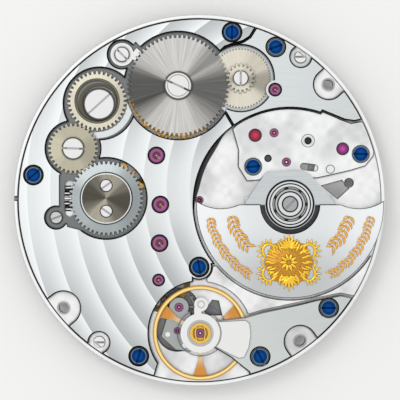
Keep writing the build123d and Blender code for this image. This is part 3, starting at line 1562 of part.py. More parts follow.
def rotor_feet(margin):
    feet = []
    for place_px in (foot_left_px, foot_right_px):
        foot = at(place_px)
        size = Box(rotor_foot_width + margin * 2, (rotor_foot_depth + margin) * 2,
                   rotor_foot_height + margin * 2, align=standing)
        feet.append(Pos(foot[0], foot[1], rotor_plate_bottom - margin) * size)
    return feet


def rotor_plate():
    face = outline_px(rotor_plate_px) + circle_face(rotor, bearing_radius + bearing_seat_width)
    plate = raised(face, rotor_plate_bottom, rotor_plate_top)
    lower_half = Pos(rotor[0], rotor[1] - casing_radius, rotor_plate_bottom + rotor_foot_height)
    plate -= lower_half * Box(rotor_radius, casing_radius * 2, rotor_foot_height * 2, align=standing)
    for foot in rotor_feet(0):
        plate += foot
    return plate - disc(rotor, bearing_radius, 0, rotor_top + overrun)


def rotor_weight():
    tip = at(horn_tip_px)
    far_tip = at(horn_tip_right_px)
    root = at(horn_root_px)
    far_root = at(horn_root_right_px)
    groove = rotor_groove_radius
    left = (rotor[0] - groove, root[1])
    right = (rotor[0] + groove, root[1])
    edges = [ThreePointArc(tip, at(horn_dip_px), root), Line(root, left),
             ThreePointArc(left, (rotor[0], rotor[1] - groove), right), Line(right, far_root),
             ThreePointArc(far_root, at(horn_dip_right_px), far_tip),
             ThreePointArc(far_tip, (rotor[0], rotor[1] - rotor_radius), tip)]
    weight = raised(make_face(Wire(edges)), rotor_weight_bottom, rotor_top)
    weight = chamfer(weight.faces().sort_by(Axis.Z)[-1].outer_wire().edges(), rotor_bevel)
    for pocket in rotor_feet(seat_gap):
        weight -= pocket
    return weight


def rotor_screw():
    return screw(rotor, rotor_screw_radius, bearing_top, rotor_screw_top, rotor_thread_bottom + floor_gap,
                 rotor_slot_angle)


# Groups of like pieces

def bridge_screws():
    screws = []
    head_top = bridge_top - bridge_screw_proud
    for bridge in ("main", "automatic", "cock"):
        for x, y, turn in bridge_screws_px[bridge]:
            screws.append(screw(at((x, y)), bridge_screw_radius, head_top - bridge_screw_head, head_top,
                                shank_bottom, turn))
    for x, y, turn in bridge_screws_px["support"]:
        screws.append(screw(at((x, y)), bridge_screw_radius, support_screw_floor,
                            support_top + bridge_screw_proud, shank_bottom, turn))
    return group(*screws)


def dog_screws():
    screws = []
    for place_px in dog_screws_px:
        place = at(place_px)
        body = screw(place, dog_screw_radius, dog_screw_bottom, dog_screw_top, shank_bottom, 0)
        flat = step(place, dog_screw_radius * dog_flat_share + casing_radius, heading(centre, place))
        body -= disc(flat, casing_radius, dog_screw_bottom, dog_screw_top + overrun)
        screws.append(body + disc(place, dog_collar_radius, plate_height, dog_screw_bottom))
    return group(*screws)


def bridge_jewels():
    jewels = [shock_jewel()]
    for place, radius in train_jewels + [(auto_second, auto_jewel_radius)]:
        jewels.append(jewel(place, radius, bridge_jewel_low, bridge_top - jewel_sink_depth))
    for place in (auto_third, reverser):
        jewels.append(jewel(place, support_jewel_radius, support_jewel_bottom, support_top - pivot_gap))
    for place, radius in ((escape, escape_jewel_radius), (pallet, plate_jewel_radius)):
        jewels.append(jewel(place, radius, escape_jewel_low, pallet_bridge_top - pivot_gap))
    return group(*jewels)


def plate_jewels():
    jewels = []
    high = cavity_floor - pivot_gap
    for place in (first, third, fourth, escape, pallet, balance, auto_second, auto_third, reverser):
        jewels.append(jewel(place, plate_jewel_radius, high - plate_jewel_height, high))
    jewels.append(ring(second, plate_jewel_radius, driver_arbor_radius + pivot_gap,
                       high - plate_jewel_height, high))
    jewels.append(jewel(centre, centre_jewel_radius, centre_jewel_bottom, plate_height - pivot_gap))
    return group(*jewels)


def rotor_studs():
    studs = []
    for place, radius in ((red_stud, red_stud_radius), (violet_stud, violet_stud_radius)):
        stud_body = disc(place, radius, support_top - stud_height, support_top + pivot_gap)
        studs.append(chamfer(stud_body.faces().sort_by(Axis.Z)[-1].outer_wire().edges(), pivot_gap))
    return group(*studs)


def press_pins():
    pins = [disc(at(press_pin_px), press_pin_radius, plate_height, support_top + pivot_gap),
            disc(at(blind_hole_px), blind_pin_radius, plate_height + floor_gap, support_top - floor_gap)]
    for place_px in pallet_pins_px:
        pins.append(disc(at(place_px), pallet_pin_radius, plate_height, pallet_bridge_top + pivot_gap))
    pins.append(ring(at(chrome_hole_px), chrome_hole_radius, chrome_hole_radius - screw_bevel,
                     plate_height + floor_gap, support_top + pivot_gap))
    return group(*pins, *motion_studs())


def winding_screws():
    low = plate_height + floor_gap
    return group(capped(small, small_screw_radius, small_shoulder_radius, low, small_slot_angle),
                 capped(rocking_core, rocking_screw_radius, rocking_core_radius, low, rocking_slot_angle),
                 capped(click, click_screw_radius, click_shoulder_radius, low, click_slot_angle),
                 auto_wheel_screw(), *crown_core_screws())


builders = [main_plate, barrel_train_bridge, automatic_bridge, rotor_support_bridge, balance_cock,
            index_plate, pallet_bridge, barrel, barrel_arbor, mainspring, first_wheel, second_wheel,
            third_wheel, fourth_wheel, escape_wheel, pallet_fork, balance_wheel, balance_staff,
            hairspring, stud_carrier, shock_setting, shock_spring, ratchet_wheel, crown_wheel,
            crown_core, small_intermediate_wheel, rocking_wheel, rocking_bush, winding_screws,
            auto_reduction_wheel, click_wheel, click_spring, winding_pinion, sliding_clutch,
            setting_lever, yoke, setting_lever_cover, transfer_wheel, setting_wheel, minute_wheel,
            hour_wheel, cannon_pinion, centre_wheel, auto_second_wheel, auto_third_wheel,
            reverser_pinion, reverser_wheel, bearing_core, bearing_outer_ring, bearing_balls,
            rotor_pinion, rotor_plate, rotor_weight, bridge_screws, dog_screws, bridge_jewels,
            plate_jewels, rotor_studs, press_pins]

os.makedirs("parts", exist_ok=True)
for build in builders:
    export_step(build(), f"parts/{build.__name__}.step")
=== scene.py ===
# An ultra-thin automatic watch movement with a micro-rotor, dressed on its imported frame.
# Sizes and places in the dictionaries are millimetres in the CAD's frame, and colours are as seen, 0 to 255.
# A pair under a range's name is where a change begins and where it is complete.

import json
import math

import bpy
import numpy as np
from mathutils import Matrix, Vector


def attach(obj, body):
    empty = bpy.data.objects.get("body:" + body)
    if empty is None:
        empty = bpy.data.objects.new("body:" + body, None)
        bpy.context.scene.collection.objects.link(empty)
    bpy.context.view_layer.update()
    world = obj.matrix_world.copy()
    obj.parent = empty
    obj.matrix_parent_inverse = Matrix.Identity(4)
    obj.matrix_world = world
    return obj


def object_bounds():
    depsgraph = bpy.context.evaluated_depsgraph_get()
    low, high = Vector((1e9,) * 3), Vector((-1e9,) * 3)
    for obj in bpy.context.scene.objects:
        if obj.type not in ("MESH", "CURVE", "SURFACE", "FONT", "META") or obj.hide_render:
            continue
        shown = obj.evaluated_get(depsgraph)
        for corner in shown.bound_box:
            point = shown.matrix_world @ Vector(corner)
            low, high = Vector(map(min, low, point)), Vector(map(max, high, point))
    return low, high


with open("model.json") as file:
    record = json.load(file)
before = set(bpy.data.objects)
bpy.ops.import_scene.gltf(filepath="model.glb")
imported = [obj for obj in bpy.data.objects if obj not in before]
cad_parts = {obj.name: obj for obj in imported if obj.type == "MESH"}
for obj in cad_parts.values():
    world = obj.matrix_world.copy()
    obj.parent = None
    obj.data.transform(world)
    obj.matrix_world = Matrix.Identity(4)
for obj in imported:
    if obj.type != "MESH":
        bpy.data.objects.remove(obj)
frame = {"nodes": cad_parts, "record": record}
nodes = frame["nodes"]
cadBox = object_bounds()
mm = 0.001
print("frame loaded with", len(nodes), "nodes")


# shader helpers

def seen(red, green, blue):
    # a colour as it looks on screen, turned to the linear values that a shader takes
    shares = np.array([red, green, blue]) / 255
    linear = np.where(shares <= 0.04045, shares / 12.92, ((shares + 0.055) / 1.055) ** 2.4)
    return (*linear.tolist(), 1.0)


class Wire:
    # one output socket; sums on it add Math nodes to its tree
    def __init__(self, graph, socket):
        self.graph = graph
        self.socket = socket

    def maths(self, operation, *others):
        return self.graph.maths(operation, self, *others)

    def __add__(self, other):
        return self.graph.maths("ADD", self, other)

    def __radd__(self, other):
        return self.graph.maths("ADD", other, self)

    def __sub__(self, other):
        return self.graph.maths("SUBTRACT", self, other)

    def __rsub__(self, other):
        return self.graph.maths("SUBTRACT", other, self)

    def __mul__(self, other):
        return self.graph.maths("MULTIPLY", self, other)

    def __rmul__(self, other):
        return self.graph.maths("MULTIPLY", other, self)

    def __truediv__(self, other):
        return self.graph.maths("DIVIDE", self, other)

    def __pow__(self, other):
        return self.graph.maths("POWER", self, other)


class Graph:
    # a node tree, and the few ways in which nodes are added to it
    def __init__(self, tree):
        self.tree = tree

    def node(self, kind, settings=None, values=None, output=0):
        made = self.tree.nodes.new(kind)
        for setting, value in (settings or {}).items():
            setattr(made, setting, value)
        for socket, value in (values or {}).items():
            self.feed(made.inputs[socket], value)
        return Wire(self, made.outputs[output])

    def feed(self, socket, value):
        if isinstance(value, Wire):
            self.tree.links.new(value.socket, socket)
        else:
            socket.default_value = value

    def maths(self, operation, *values):
        return self.node("ShaderNodeMath", {"operation": operation}, dict(enumerate(values)))

    def parts(self, vector):
        split = self.node("ShaderNodeSeparateXYZ", values={0: vector})
        return [Wire(self, socket) for socket in split.socket.node.outputs]

    def vector(self, x, y, z):
        return self.node("ShaderNodeCombineXYZ", values={0: x, 1: y, 2: z})

    def span(self, value, low, high):
        # 0 at low, 1 at high, smooth between
        settings = {"interpolation_type": "SMOOTHSTEP"}
        return self.node("ShaderNodeMapRange", settings, {0: value, 1: low, 2: high})

    def between(self, value, low, high, soft):
        # 1 inside the range, 0 outside it
        inside = self.span(value, low - soft, low + soft)
        return inside * (1 - self.span(value, high - soft, high + soft))

    def mix(self, share, first, second):
        return self.node("ShaderNodeMix", {"data_type": "RGBA"}, {0: share, 6: first, 7: second}, output=2)


class Finish(Graph):
    # a material with one Principled shader
    def __init__(self, name, colour, rough, metal=1.0, **plain):
        self.material = bpy.data.materials.new(name)
        self.material.use_nodes = True
        super().__init__(self.material.node_tree)
        self.shader = self.tree.nodes["Principled BSDF"]
        self.colour = seen(*colour)
        self.wear("Base Color", self.colour)
        self.wear("Roughness", rough)
        self.wear("Metallic", metal)
        for socketName, value in plain.items():
            self.wear(socketName.replace("_", " "), value)

    def wear(self, socketName, value):
        self.feed(self.shader.inputs[socketName], value)

    def spot(self):
        # where the point is, in millimetres
        return [part / mm for part in self.parts(self.node("ShaderNodeTexCoord", output=3))]

    def facing(self):
        # the direction that the face looks in
        return self.parts(self.node("ShaderNodeTexCoord", output=1))

    def lean(self):
        # how level the face is: 1 for a level face, 0 for a wall
        return self.facing()[2].maths("ABSOLUTE")

    def gapShadeFactor(self, reach, power, samples=12):
        # near 0 in a gap or at the foot of a wall, 1 in the open; it paints shade into the colour
        values = {"Distance": reach * mm}
        return self.node("ShaderNodeAmbientOcclusion", {"samples": samples}, values, output=1) ** power

    def noise(self, place, detail=2.0, rough=0.5):
        values = {"Vector": place, "Scale": 1.0, "Detail": detail, "Roughness": rough}
        return self.node("ShaderNodeTexNoise", values=values)

    def bumped(self, height, strength, depth):
        values = {"Strength": strength, "Distance": depth * mm, "Height": height}
        self.wear("Normal", self.node("ShaderNodeBump", values=values))

    def scaled(self, colour, strength):
        start = colour if isinstance(colour, Wire) else colour[:3]
        return self.node("ShaderNodeVectorMath", {"operation": "SCALE"}, {0: start, "Scale": strength})


def painted(finish, value, steps, soft):
    # colours in order of a value: each (limit, colour) takes over where the value passes its limit
    tint = seen(*steps[0][1])
    for limit, colour in steps[1:]:
        tint = finish.mix(finish.span(value, limit - soft, limit + soft), tint, seen(*colour))
    return tint


def nearest(finish, circles):
    # distance to the nearest of several round places (across, up, radius), as a share of its radius
    x, y = finish.spot()[:2]
    closest = None
    for placeX, placeY, radius in circles:
        across, up = x - placeX, y - placeY
        share = (across * across + up * up).maths("SQRT") / radius
        closest = share if closest is None else share.maths("MINIMUM", closest)
    return closest


def polar(finish, centre):
    # distance from a centre in millimetres, and the unit direction to the point
    x, y = finish.spot()[:2]
    across, up = x - centre[0], y - centre[1]
    tiny = 1e-6  # keeps the direction finite at the centre
    distance = (across * across + up * up + tiny).maths("SQRT")
    return distance, across / distance, up / distance


def distanceFrom(finish, centre):
    return polar(finish, centre)[0]


# grains of level faces; each gives a brightness near 1

grains = {
    "detail": 3.0,
    "fine": 20.0,          # stripes per millimetre of plain polished pieces
    "lengthwise": 0.35,    # how fast a straight grain changes along itself
    "roundabout": 0.6,     # and a circular one round its centre
    "rays": 22.0,          # and a radial one from ray to ray
    "outward": 0.25,       # and along each ray
    "rayRough": 0.6,
    "fanCore": 0.3,        # the fully lit share of a fan's width
}


def brushed(finish, angle, depth, fine):
    # straight grain: noise that is long along the angle and short across it
    x, y = finish.spot()[:2]
    turn = math.radians(angle)
    across = y * math.cos(turn) - x * math.sin(turn)
    along = x * math.cos(turn) + y * math.sin(turn)
    grain = finish.noise(finish.vector(along * grains["lengthwise"], across * fine, 0.0), grains["detail"])
    return 1 + (grain - 0.5) * depth


def turned(finish, centre, depth, fine):
    # circular grain: noise that changes mostly with the distance from the centre
    distance, right, up = polar(finish, centre)
    place = finish.vector(distance * fine, right * grains["roundabout"], up * grains["roundabout"])
    return 1 + (finish.noise(place, grains["detail"]) - 0.5) * depth


def sunburst(finish, centre, fans, streak):
    # radial grain with fans of painted sheen and shade, each (bearing, half width, strength) with angles in
    # degrees
    distance, right, up = polar(finish, centre)
    place = finish.vector(right * grains["rays"], up * grains["rays"], distance * grains["outward"])
    rays = finish.noise(place, grains["detail"], grains["rayRough"])
    total = 1
    for bearing, width, strength in fans:
        facing = right * math.cos(math.radians(bearing)) + up * math.sin(math.radians(bearing))
        rim, core = math.radians(width), math.radians(width * grains["fanCore"])
        total = total + finish.span(facing, math.cos(rim), math.cos(core)) * strength
    return total * (1 + (rays - 0.5) * streak)


pearls = {
    "scatter": 0.55,             # how far the marks stray from a square grid
    "fadeShares": (0.25, 0.75),  # of the pitch, where a mark fades out
    "depth": 0.04,
    "cloudPlace": (0.36, 0.30, 2.0),  # clouds per millimetre across and up, and the slice of the noise
    "cloudDetail": 2.5,
    "cloudRough": 0.42,
    "cloudRange": (0.36, 0.56),
}


def pearled(finish, pitch, cloud):
    # overlapping round grinding marks: each point takes its bearing from the nearest of many scattered
    # centres, and the sine of twice that bearing lights the mark; slow clouds lie over it
    x, y = finish.spot()[:2]
    values = {"Vector": finish.vector(x, y, 0.0), "Scale": 1 / pitch, "Randomness": pearls["scatter"]}
    centre = finish.node("ShaderNodeTexVoronoi", {"voronoi_dimensions": "2D"}, values, output=2)
    centreX, centreY = finish.parts(centre)[:2]
    across, up = x - centreX, y - centreY
    tiny = 1e-4  # keeps the bearing finite at the centre
    reach = (across * across + up * up + tiny).maths("SQRT")
    swirl = across * up / (reach * reach) * 2
    marks = swirl * (1 - finish.span(reach, *(share * pitch for share in pearls["fadeShares"])))
    acrossScale, upScale, noiseSlice = pearls["cloudPlace"]
    place = finish.vector(x * acrossScale, y * upScale, noiseSlice)
    clouds = finish.noise(place, pearls["cloudDetail"], pearls["cloudRough"])
    dimmed = 1 - finish.span(clouds, *pearls["cloudRange"])
    return 1 + marks * pearls["depth"] - dimmed * cloud


dressing = {
    "levelRange": (0.74, 0.90),    # how level a face is, from a bevel to a top
    "sideReach": (14.46, 14.50),   # the upright outer side of the whole movement
    "sideRange": (0.3, 0.5),
    "sideLight": 0.6,
    "bumpStrength": 0.25,
    "bumpDepth": 0.02,
}


def dressed(finish, bright, wall=0.02, reach=0.16, power=1.3, tint=None):
    # level faces take their brightness; walls are painted dark as shade and bevels as a dark reflection,
    # gaps get painted shade by how closed they are; the upright outer side of the whole movement stays bright
    lean = finish.lean()
    level = finish.span(lean, *dressing["levelRange"])
    x, y = finish.spot()[:2]
    outer = finish.span((x * x + y * y).maths("SQRT"), *dressing["sideReach"])
    outer = outer * (1 - finish.span(lean, *dressing["sideRange"])) * dressing["sideLight"]
    shade = (level * bright + (1 - level) * (wall + outer)) * finish.gapShadeFactor(reach, power)
    finish.wear("Base Color", finish.scaled(finish.colour if tint is None else tint, shade))
    finish.bumped(bright, dressing["bumpStrength"], dressing["bumpDepth"])
    return finish.material


# places seen from above: across and up, and for round pieces the radius too

places = {
    "movement": (0.0, 0.0),
    "rotor": (7.25, -0.314),
    "balance": (0.072, -10.642),
    "crownWheel": (-7.459, 0.145),
    "ratchetWheel": (-1.696, 9.179),
    "smallWheel": (-10.114, 4.144),
    "rockingHub": (-8.019, 7.691),
    "rockingWheel": (-8.219, 7.892),
    "automaticWheel": (3.309, 9.775),
}
rounds = {
    "windingHeads": [(*places["smallWheel"], 0.90), (*places["rockingHub"], 1.30), (-6.197, 11.671, 0.60),
                     (*places["automaticWheel"], 0.62), (-7.459, 1.175, 0.50), (-7.459, -0.885, 0.50)],
    "ratchetHead": [(*places["ratchetWheel"], 1.15)],
    "leverHead": [(-11.470, -1.391, 0.50)],
    "blueHeads": [(-13.286, 2.017, 0.66), (2.612, 13.455, 0.66), (-0.024, -5.345, 0.66),
                  (-4.855, -12.474, 0.66), (6.117, 12.265, 0.66), (12.957, 3.705, 0.66),
                  (4.316, 2.693, 0.66), (4.863, -12.515, 0.66), (10.352, -8.624, 0.66)],
    "jewels": [(-3.440, 3.585, 0.62), (-3.127, -0.346, 0.62), (-3.191, -3.440, 0.62), (-3.263, -6.390, 0.42),
               (6.060, 8.849, 0.46), (5.996, 5.409, 0.37), (6.985, 3.062, 0.37), (-1.640, -8.600, 0.37),
               (-1.776, -10.481, 0.30), (*places["balance"], 0.36), (*places["movement"], 0.34)],
    "endStones": [(4.477, 5.216, 0.54), (11.501, 4.123, 0.52)],
    "upperBlindHole": [(8.72, 4.774, 0.36)],
    "lowerBlindHole": [(5.505, 3.359, 0.30)],
    "supportPin": [(10.512, 2.492, 0.30)],
}


# finishes of single pieces

waves = {
    "colour": (241, 245, 246), "rough": 0.30,
    "centre": (9.69, 0.98),
    "first": 23.484, "step": 1.862,       # radius of the outermost ring, and from ring to ring
    "dark": 0.60, "light": 1.04, "curve": 1.5,
    "plainContrast": 0.34,                # level with the centre, where the rings show least
    "contrastRange": (0.06, 0.5),
    "inwardTilt": 0.45, "inwardRange": (-12.0, 5.0), "inwardShade": 0.08,
    "grain": 0.05, "fine": 9.0,
    "topRange": (1.90, 1.95),             # height of the bridge's top
}
recess = {
    "level": 0.22, "grain": 0.2, "fine": 14.0,
    "bronze": (250, 242, 215), "bronzeReach": (1.68, 1.74), "bronzeShade": 0.10,
    "crescentSide": (0.75, 1.05), "crescentInner": (2.40, 2.46), "crescentOuter": (2.9, 2.95),
    "crescentLight": 0.6,
}


def shadedRecessFloor(finish, bronze):
    # the recess floors: painted dim as shade, with painted light below and right of the rocking wheel
    # and more painted shade on the floor inside the bronze bush
    distance, right, up = polar(finish, places["rockingWheel"])
    ring = finish.span(distance, *recess["crescentInner"])
    ring = ring * (1 - finish.span(distance, *recess["crescentOuter"]))
    litCrescent = finish.span(right - up, *recess["crescentSide"]) * ring
    level = recess["level"] + litCrescent * recess["crescentLight"] - bronze * recess["bronzeShade"]
    return turned(finish, places["crownWheel"], recess["grain"], recess["fine"]) * level


def waveBridge():
    # concentric waves: each ring brightens from its outer edge to its inner edge, then drops
    finish = Finish("wavedRhodium", waves["colour"], waves["rough"])
    x, y, z = finish.spot()
    distance = distanceFrom(finish, waves["centre"])
    share = ((waves["first"] - distance) / waves["step"]).maths("FRACT")
    ring = waves["dark"] + (waves["light"] - waves["dark"]) * share ** waves["curve"]
    rise = (y - waves["centre"][1]) / distance
    steep = finish.span(rise.maths("ABSOLUTE"), *waves["contrastRange"])
    contrast = waves["plainContrast"] + steep * (1 - waves["plainContrast"])
    # painted shade: the top darkens towards the right and the bottom
    sideShade = finish.span(x - y * waves["inwardTilt"], *waves["inwardRange"]) * waves["inwardShade"]
    grain = turned(finish, waves["centre"], waves["grain"], waves["fine"])
    top = finish.span(z, *waves["topRange"])
    bronze = 1 - finish.span(distanceFrom(finish, places["rockingHub"]), *recess["bronzeReach"])
    bright = top * (1 - (1 - ring) * contrast - sideShade) * grain + (1 - top) * shadedRecessFloor(finish, bronze)
    tint = finish.mix(bronze * (1 - top), finish.colour, seen(*recess["bronze"]))
    return dressed(finish, bright, tint=tint)


greys = {
    "rough": 0.32,
    "level": 1.04,
    "grain": 0.24, "fine": 18.0,
    "fadeRange": (-9.0, 9.0),
    "litRange": (0.5, 0.6),     # how far a bevel looks up the picture
    "wall": 0.02,
}


def greyBridge(name, colour, angle, slope, lit=0.0):
    # plain brushed rhodium, with painted shade darkening it along a slope (across, up, strength)
    # bevels that look up can get a painted highlight
    finish = Finish(name, colour, greys["rough"])
    x, y = finish.spot()[:2]
    slopeShade = finish.span(x * slope[0] + y * slope[1], *greys["fadeRange"]) * slope[2]
    lift = finish.span(finish.facing()[1], *greys["litRange"]) * lit
    bright = brushed(finish, angle, greys["grain"], greys["fine"]) * (greys["level"] - slopeShade)
    return dressed(finish, bright, greys["wall"] + lift)


plate = {
    "colour": (240, 241, 240), "rough": 0.34,
    "pitch": 1.25, "cloud": 0.26,
    "rimReach": (14.60, 14.66), "rimLevel": 1.03,
    "groove": (14.545, 14.645), "grooveSoft": 0.01, "grooveHeight": (1.0, 1.1),
    "freeTilt": 0.25, "freeRange": (3.0, 5.0), "freeLight": 1.1,     # where the groove shows bright
    "coveredUp": (-13.0, -7.0), "coveredSoft": 0.5,                  # and where it is dark again
    "floors": [(0.90, 1.02, 0.55), (0.40, 0.88, 0.74)], "floorSoft": 0.02,    # lowest, highest and shade
    "wellReach": (2.42, 2.52), "wellHeight": (0.42, 0.44),
    "shadowAim": (-0.92, 0.39), "shadowAimRange": (0.90, 0.99), "shadowWidth": 0.34,
    "shadowInner": (7.66, 7.72), "shadowOuter": (7.72, 7.8), "shadowHeight": (1.26, 1.30),
    "shadowEnd": (0.0, 0.02),
    "chamferReach": (14.82, 14.86), "chamferLean": (0.4, 0.5), "chamferLight": 0.8,
    "dark": 0.93, "wellDark": 0.9,
    "wall": 0.02,
}


def bridgeShadow(finish, z):
    # the shadow of the barrel bridge's edge on the plate, widest up and left of the rotor
    distance, right, up = polar(finish, places["rotor"])
    aim = right * plate["shadowAim"][0] + up * plate["shadowAim"][1]
    overhang = finish.span(aim, *plate["shadowAimRange"]) * plate["shadowWidth"]
    shadow = finish.span(distance + overhang, *plate["shadowInner"])
    shadow = shadow * (1 - finish.span(distance, *plate["shadowOuter"]))
    return shadow * (1 - finish.span(z, *plate["shadowHeight"])) * finish.span(overhang, *plate["shadowEnd"])


def pearledPlate():
    # the main plate: grinding marks inside, a smooth bright rim outside the rim groove, which is painted
    # black as shade
    # painted shade also darkens the pockets, the rotor's well and the plate under the barrel bridge's edge
    finish = Finish("pearledRhodium", plate["colour"], plate["rough"])
    x, y, z = finish.spot()
    distance = distanceFrom(finish, places["movement"])
    rim = finish.span(distance, *plate["rimReach"])
    groove = finish.between(distance, *plate["groove"], plate["grooveSoft"])
    groove = groove * finish.span(z, *plate["grooveHeight"])
    # painted light where the groove shows bright
    free = groove * finish.span(x + y * plate["freeTilt"], *plate["freeRange"])
    free = free * (1 - finish.between(y, *plate["coveredUp"], plate["coveredSoft"]))
    inside = pearled(finish, plate["pitch"], plate["cloud"])
    well = 1 - finish.span(distanceFrom(finish, places["rotor"]), *plate["wellReach"])
    well = well * finish.span(z, *plate["wellHeight"])
    pocketShade = 0
    for low, high, shade in plate["floors"]:
        pocketShade = pocketShade + finish.between(z, low, high, plate["floorSoft"]) * shade
    level = (inside * (1 - rim) + rim * plate["rimLevel"]) * (1 - groove * plate["dark"])
    level = level * (1 - pocketShade) * (1 - well * plate["wellDark"])
    level = level * (1 - bridgeShadow(finish, z) * plate["dark"]) + free * plate["freeLight"]
    # painted light on the outer chamfer
    chamfer = finish.span(distance, *plate["chamferReach"])
    chamfer = chamfer * finish.span(finish.lean(), *plate["chamferLean"])
    return dressed(finish, level, plate["wall"] + chamfer * plate["chamferLight"])


support = {
    "colour": (241, 242, 242), "rough": 0.34,
    "pitch": 1.4, "cloud": 0.20,
    "holeShares": (0.98, 1.02),
    "mouthShares": (1.34, 1.50), "mouthSoft": 0.03,    # a black line round the upper blind hole
    "pinShares": (1.0, 1.2), "pinSoft": 0.04,          # and one round the pin
    "lineDark": 0.9,
    "bearingReach": (2.42, 2.52),
    "dark": 0.95,
}


def pearledBridge():
    # the rotor's support: like marks, painted black as shade in its two blind holes and under the rotor's
    # bearing
    # painted shade also draws black lines round the upper blind hole and the pin
    finish = Finish("pearledBridge", support["colour"], support["rough"])
    holes = nearest(finish, rounds["upperBlindHole"] + rounds["lowerBlindHole"])
    mouth = finish.between(nearest(finish, rounds["upperBlindHole"]), *support["mouthShares"],
                           support["mouthSoft"])
    pin = finish.between(nearest(finish, rounds["supportPin"]), *support["pinShares"], support["pinSoft"])
    lines = mouth.maths("MAXIMUM", pin)
    clear = finish.span(holes, *support["holeShares"])
    clear = clear * finish.span(distanceFrom(finish, places["rotor"]), *support["bearingReach"])
    holeShade = 1 - clear * (1 - lines * support["lineDark"])
    return dressed(finish, pearled(finish, support["pitch"], support["cloud"]) * (1 - holeShade * support["dark"]))


def fanned(name, colour, centre, fans, streak, rough=0.28, wall=0.10):
    # a wheel with a radial sunburst of grain and fans of painted sheen and shade
    finish = Finish(name, colour, rough)
    return dressed(finish, sunburst(finish, centre, fans, streak), wall)


crown = {
    "ringColour": (164, 171, 172), "ringRough": 0.30,
    "ringFans": [(108, 62, 0.75), (200, 50, 0.15), (345, 60, -0.2)],
    "streak": 0.2, "grain": 0.2, "fine": 14.0,
    "line": (1.9, 2.12), "lineSoft": 0.02, "lineDark": 0.93,
    "coreColour": (116, 112, 102), "coreRough": 0.28,
    "coreFans": [(250, 46, 1.3), (75, 42, 1.0), (165, 40, -0.5), (350, 40, -0.5)],
    "coreStreak": 0.8,
    "edgeReach": (1.93, 1.95), "edgeColour": (226, 228, 226),
    "wall": 0.10,
}


def crownRing():
    # the crown wheel's grey ring, paler up and left from painted sheen, with a black line of painted shade
    # round its core
    finish = Finish("crownRing", crown["ringColour"], crown["ringRough"])
    fans = sunburst(finish, places["crownWheel"], crown["ringFans"], crown["streak"])
    fans = fans * turned(finish, places["crownWheel"], crown["grain"], crown["fine"])
    line = finish.between(distanceFrom(finish, places["crownWheel"]), *crown["line"], crown["lineSoft"])
    return dressed(finish, fans * (1 - line * crown["lineDark"]), crown["wall"])


def crownHub():
    # the crown wheel's core: a dark sunburst of painted sheen and shade inside a white edge of painted
    # highlight
    finish = Finish("crownHub", crown["coreColour"], crown["coreRough"])
    edge = finish.span(distanceFrom(finish, places["crownWheel"]), *crown["edgeReach"])
    fans = sunburst(finish, places["crownWheel"], crown["coreFans"], crown["coreStreak"])
    tint = finish.mix(edge, finish.colour, seen(*crown["edgeColour"]))
    return dressed(finish, fans * (1 - edge) + edge, crown["wall"], tint=tint)


outlines = {
    "rough": 0.2,
    "grain": 0.05,
    "lineShares": (0.88, 1.04), "lineSoft": 0.03, "lineDark": 0.88,
    "wall": 0.2,
}


def outlined(name, colour, heads):
    # polished heads with a dark line of painted shade near the edge of each
    finish = Finish(name, colour, outlines["rough"])
    line = finish.between(nearest(finish, heads), *outlines["lineShares"], outlines["lineSoft"])
    grain = turned(finish, places["movement"], outlines["grain"], grains["fine"])
    return dressed(finish, grain * (1 - line * outlines["lineDark"]), outlines["wall"])


def smooth(name, colour, rough, wall=0.2, reach=0.2, power=2.2, grain=0.04):
    # a polished piece: even colour, with walls and slots painted darker as shade
    finish = Finish(name, colour, rough)
    return dressed(finish, turned(finish, places["movement"], grain, grains["fine"]), wall, reach, power)


deep = {"rough": 0.28, "wall": 0.3, "reach": 1.1, "power": 1.5, "grain": 0.06}


def deepWheel(name, colour):
    # a wheel far down in the plate, painted dim as shade wherever something stands over it
    return smooth(name, colour, **deep)


blue = {
    "colour": (16, 66, 134), "rough": 0.26,
    "rings": [(0, (18, 74, 146)), (0.5, (12, 58, 122)), (0.86, (126, 150, 162)), (0.95, (14, 16, 20))],
    "ringSoft": 0.04,
    "cloudScale": 1.1, "cloudBase": 0.7, "cloudDepth": 0.5,
    "slotReach": 0.12, "slotPower": 3.0,
}


def blueScrew():
    # blued heads with a pale ring of painted highlight inside a black edge of painted shade
    # the slots are painted nearly black as shade
    finish = Finish("bluedSteel", blue["colour"], blue["rough"])
    tint = painted(finish, nearest(finish, rounds["blueHeads"]), blue["rings"], blue["ringSoft"])
    x, y = finish.spot()[:2]
    cloud = finish.noise(finish.vector(x * blue["cloudScale"], y * blue["cloudScale"], 0.0))
    shade = blue["cloudBase"] + cloud * blue["cloudDepth"]
    shade = shade * finish.gapShadeFactor(blue["slotReach"], blue["slotPower"])
    finish.wear("Base Color", finish.scaled(tint, shade))
    return finish.material


jewel = {
    "colour": (178, 84, 150), "rough": 0.14, "metal": 0.1, "coat": 0.4,
    "rings": [(0, (110, 28, 80)), (0.30, (84, 16, 60)), (0.54, (164, 70, 136)), (0.84, (34, 10, 28))],
    "ringSoft": 0.04,
    "cupReach": 0.08, "cupPower": 1.2,
}


def rubyJewel():
    # a violet stone: dark purple in its cup, a lighter ring round it and a nearly black edge, the dark parts
    # painted shade
    finish = Finish("ruby", jewel["colour"], jewel["rough"], jewel["metal"], Coat_Weight=jewel["coat"])
    tint = painted(finish, nearest(finish, rounds["jewels"]), jewel["rings"], jewel["ringSoft"])
    finish.wear("Base Color", finish.scaled(tint, finish.gapShadeFactor(jewel["cupReach"], jewel["cupPower"])))
    return finish.material


endStone = {
    "colour": (205, 30, 88), "rough": 0.3, "metal": 0.0,
    "red": [(0, (216, 22, 84)), (0.34, (162, 6, 52)), (0.68, (70, 4, 30))],
    "violet": [(0, (196, 62, 168)), (0.34, (146, 32, 122)), (0.68, (60, 10, 56))],
    "ringSoft": 0.2,
    "changeover": (7.0, 9.0),    # between the red stone and the violet one
}


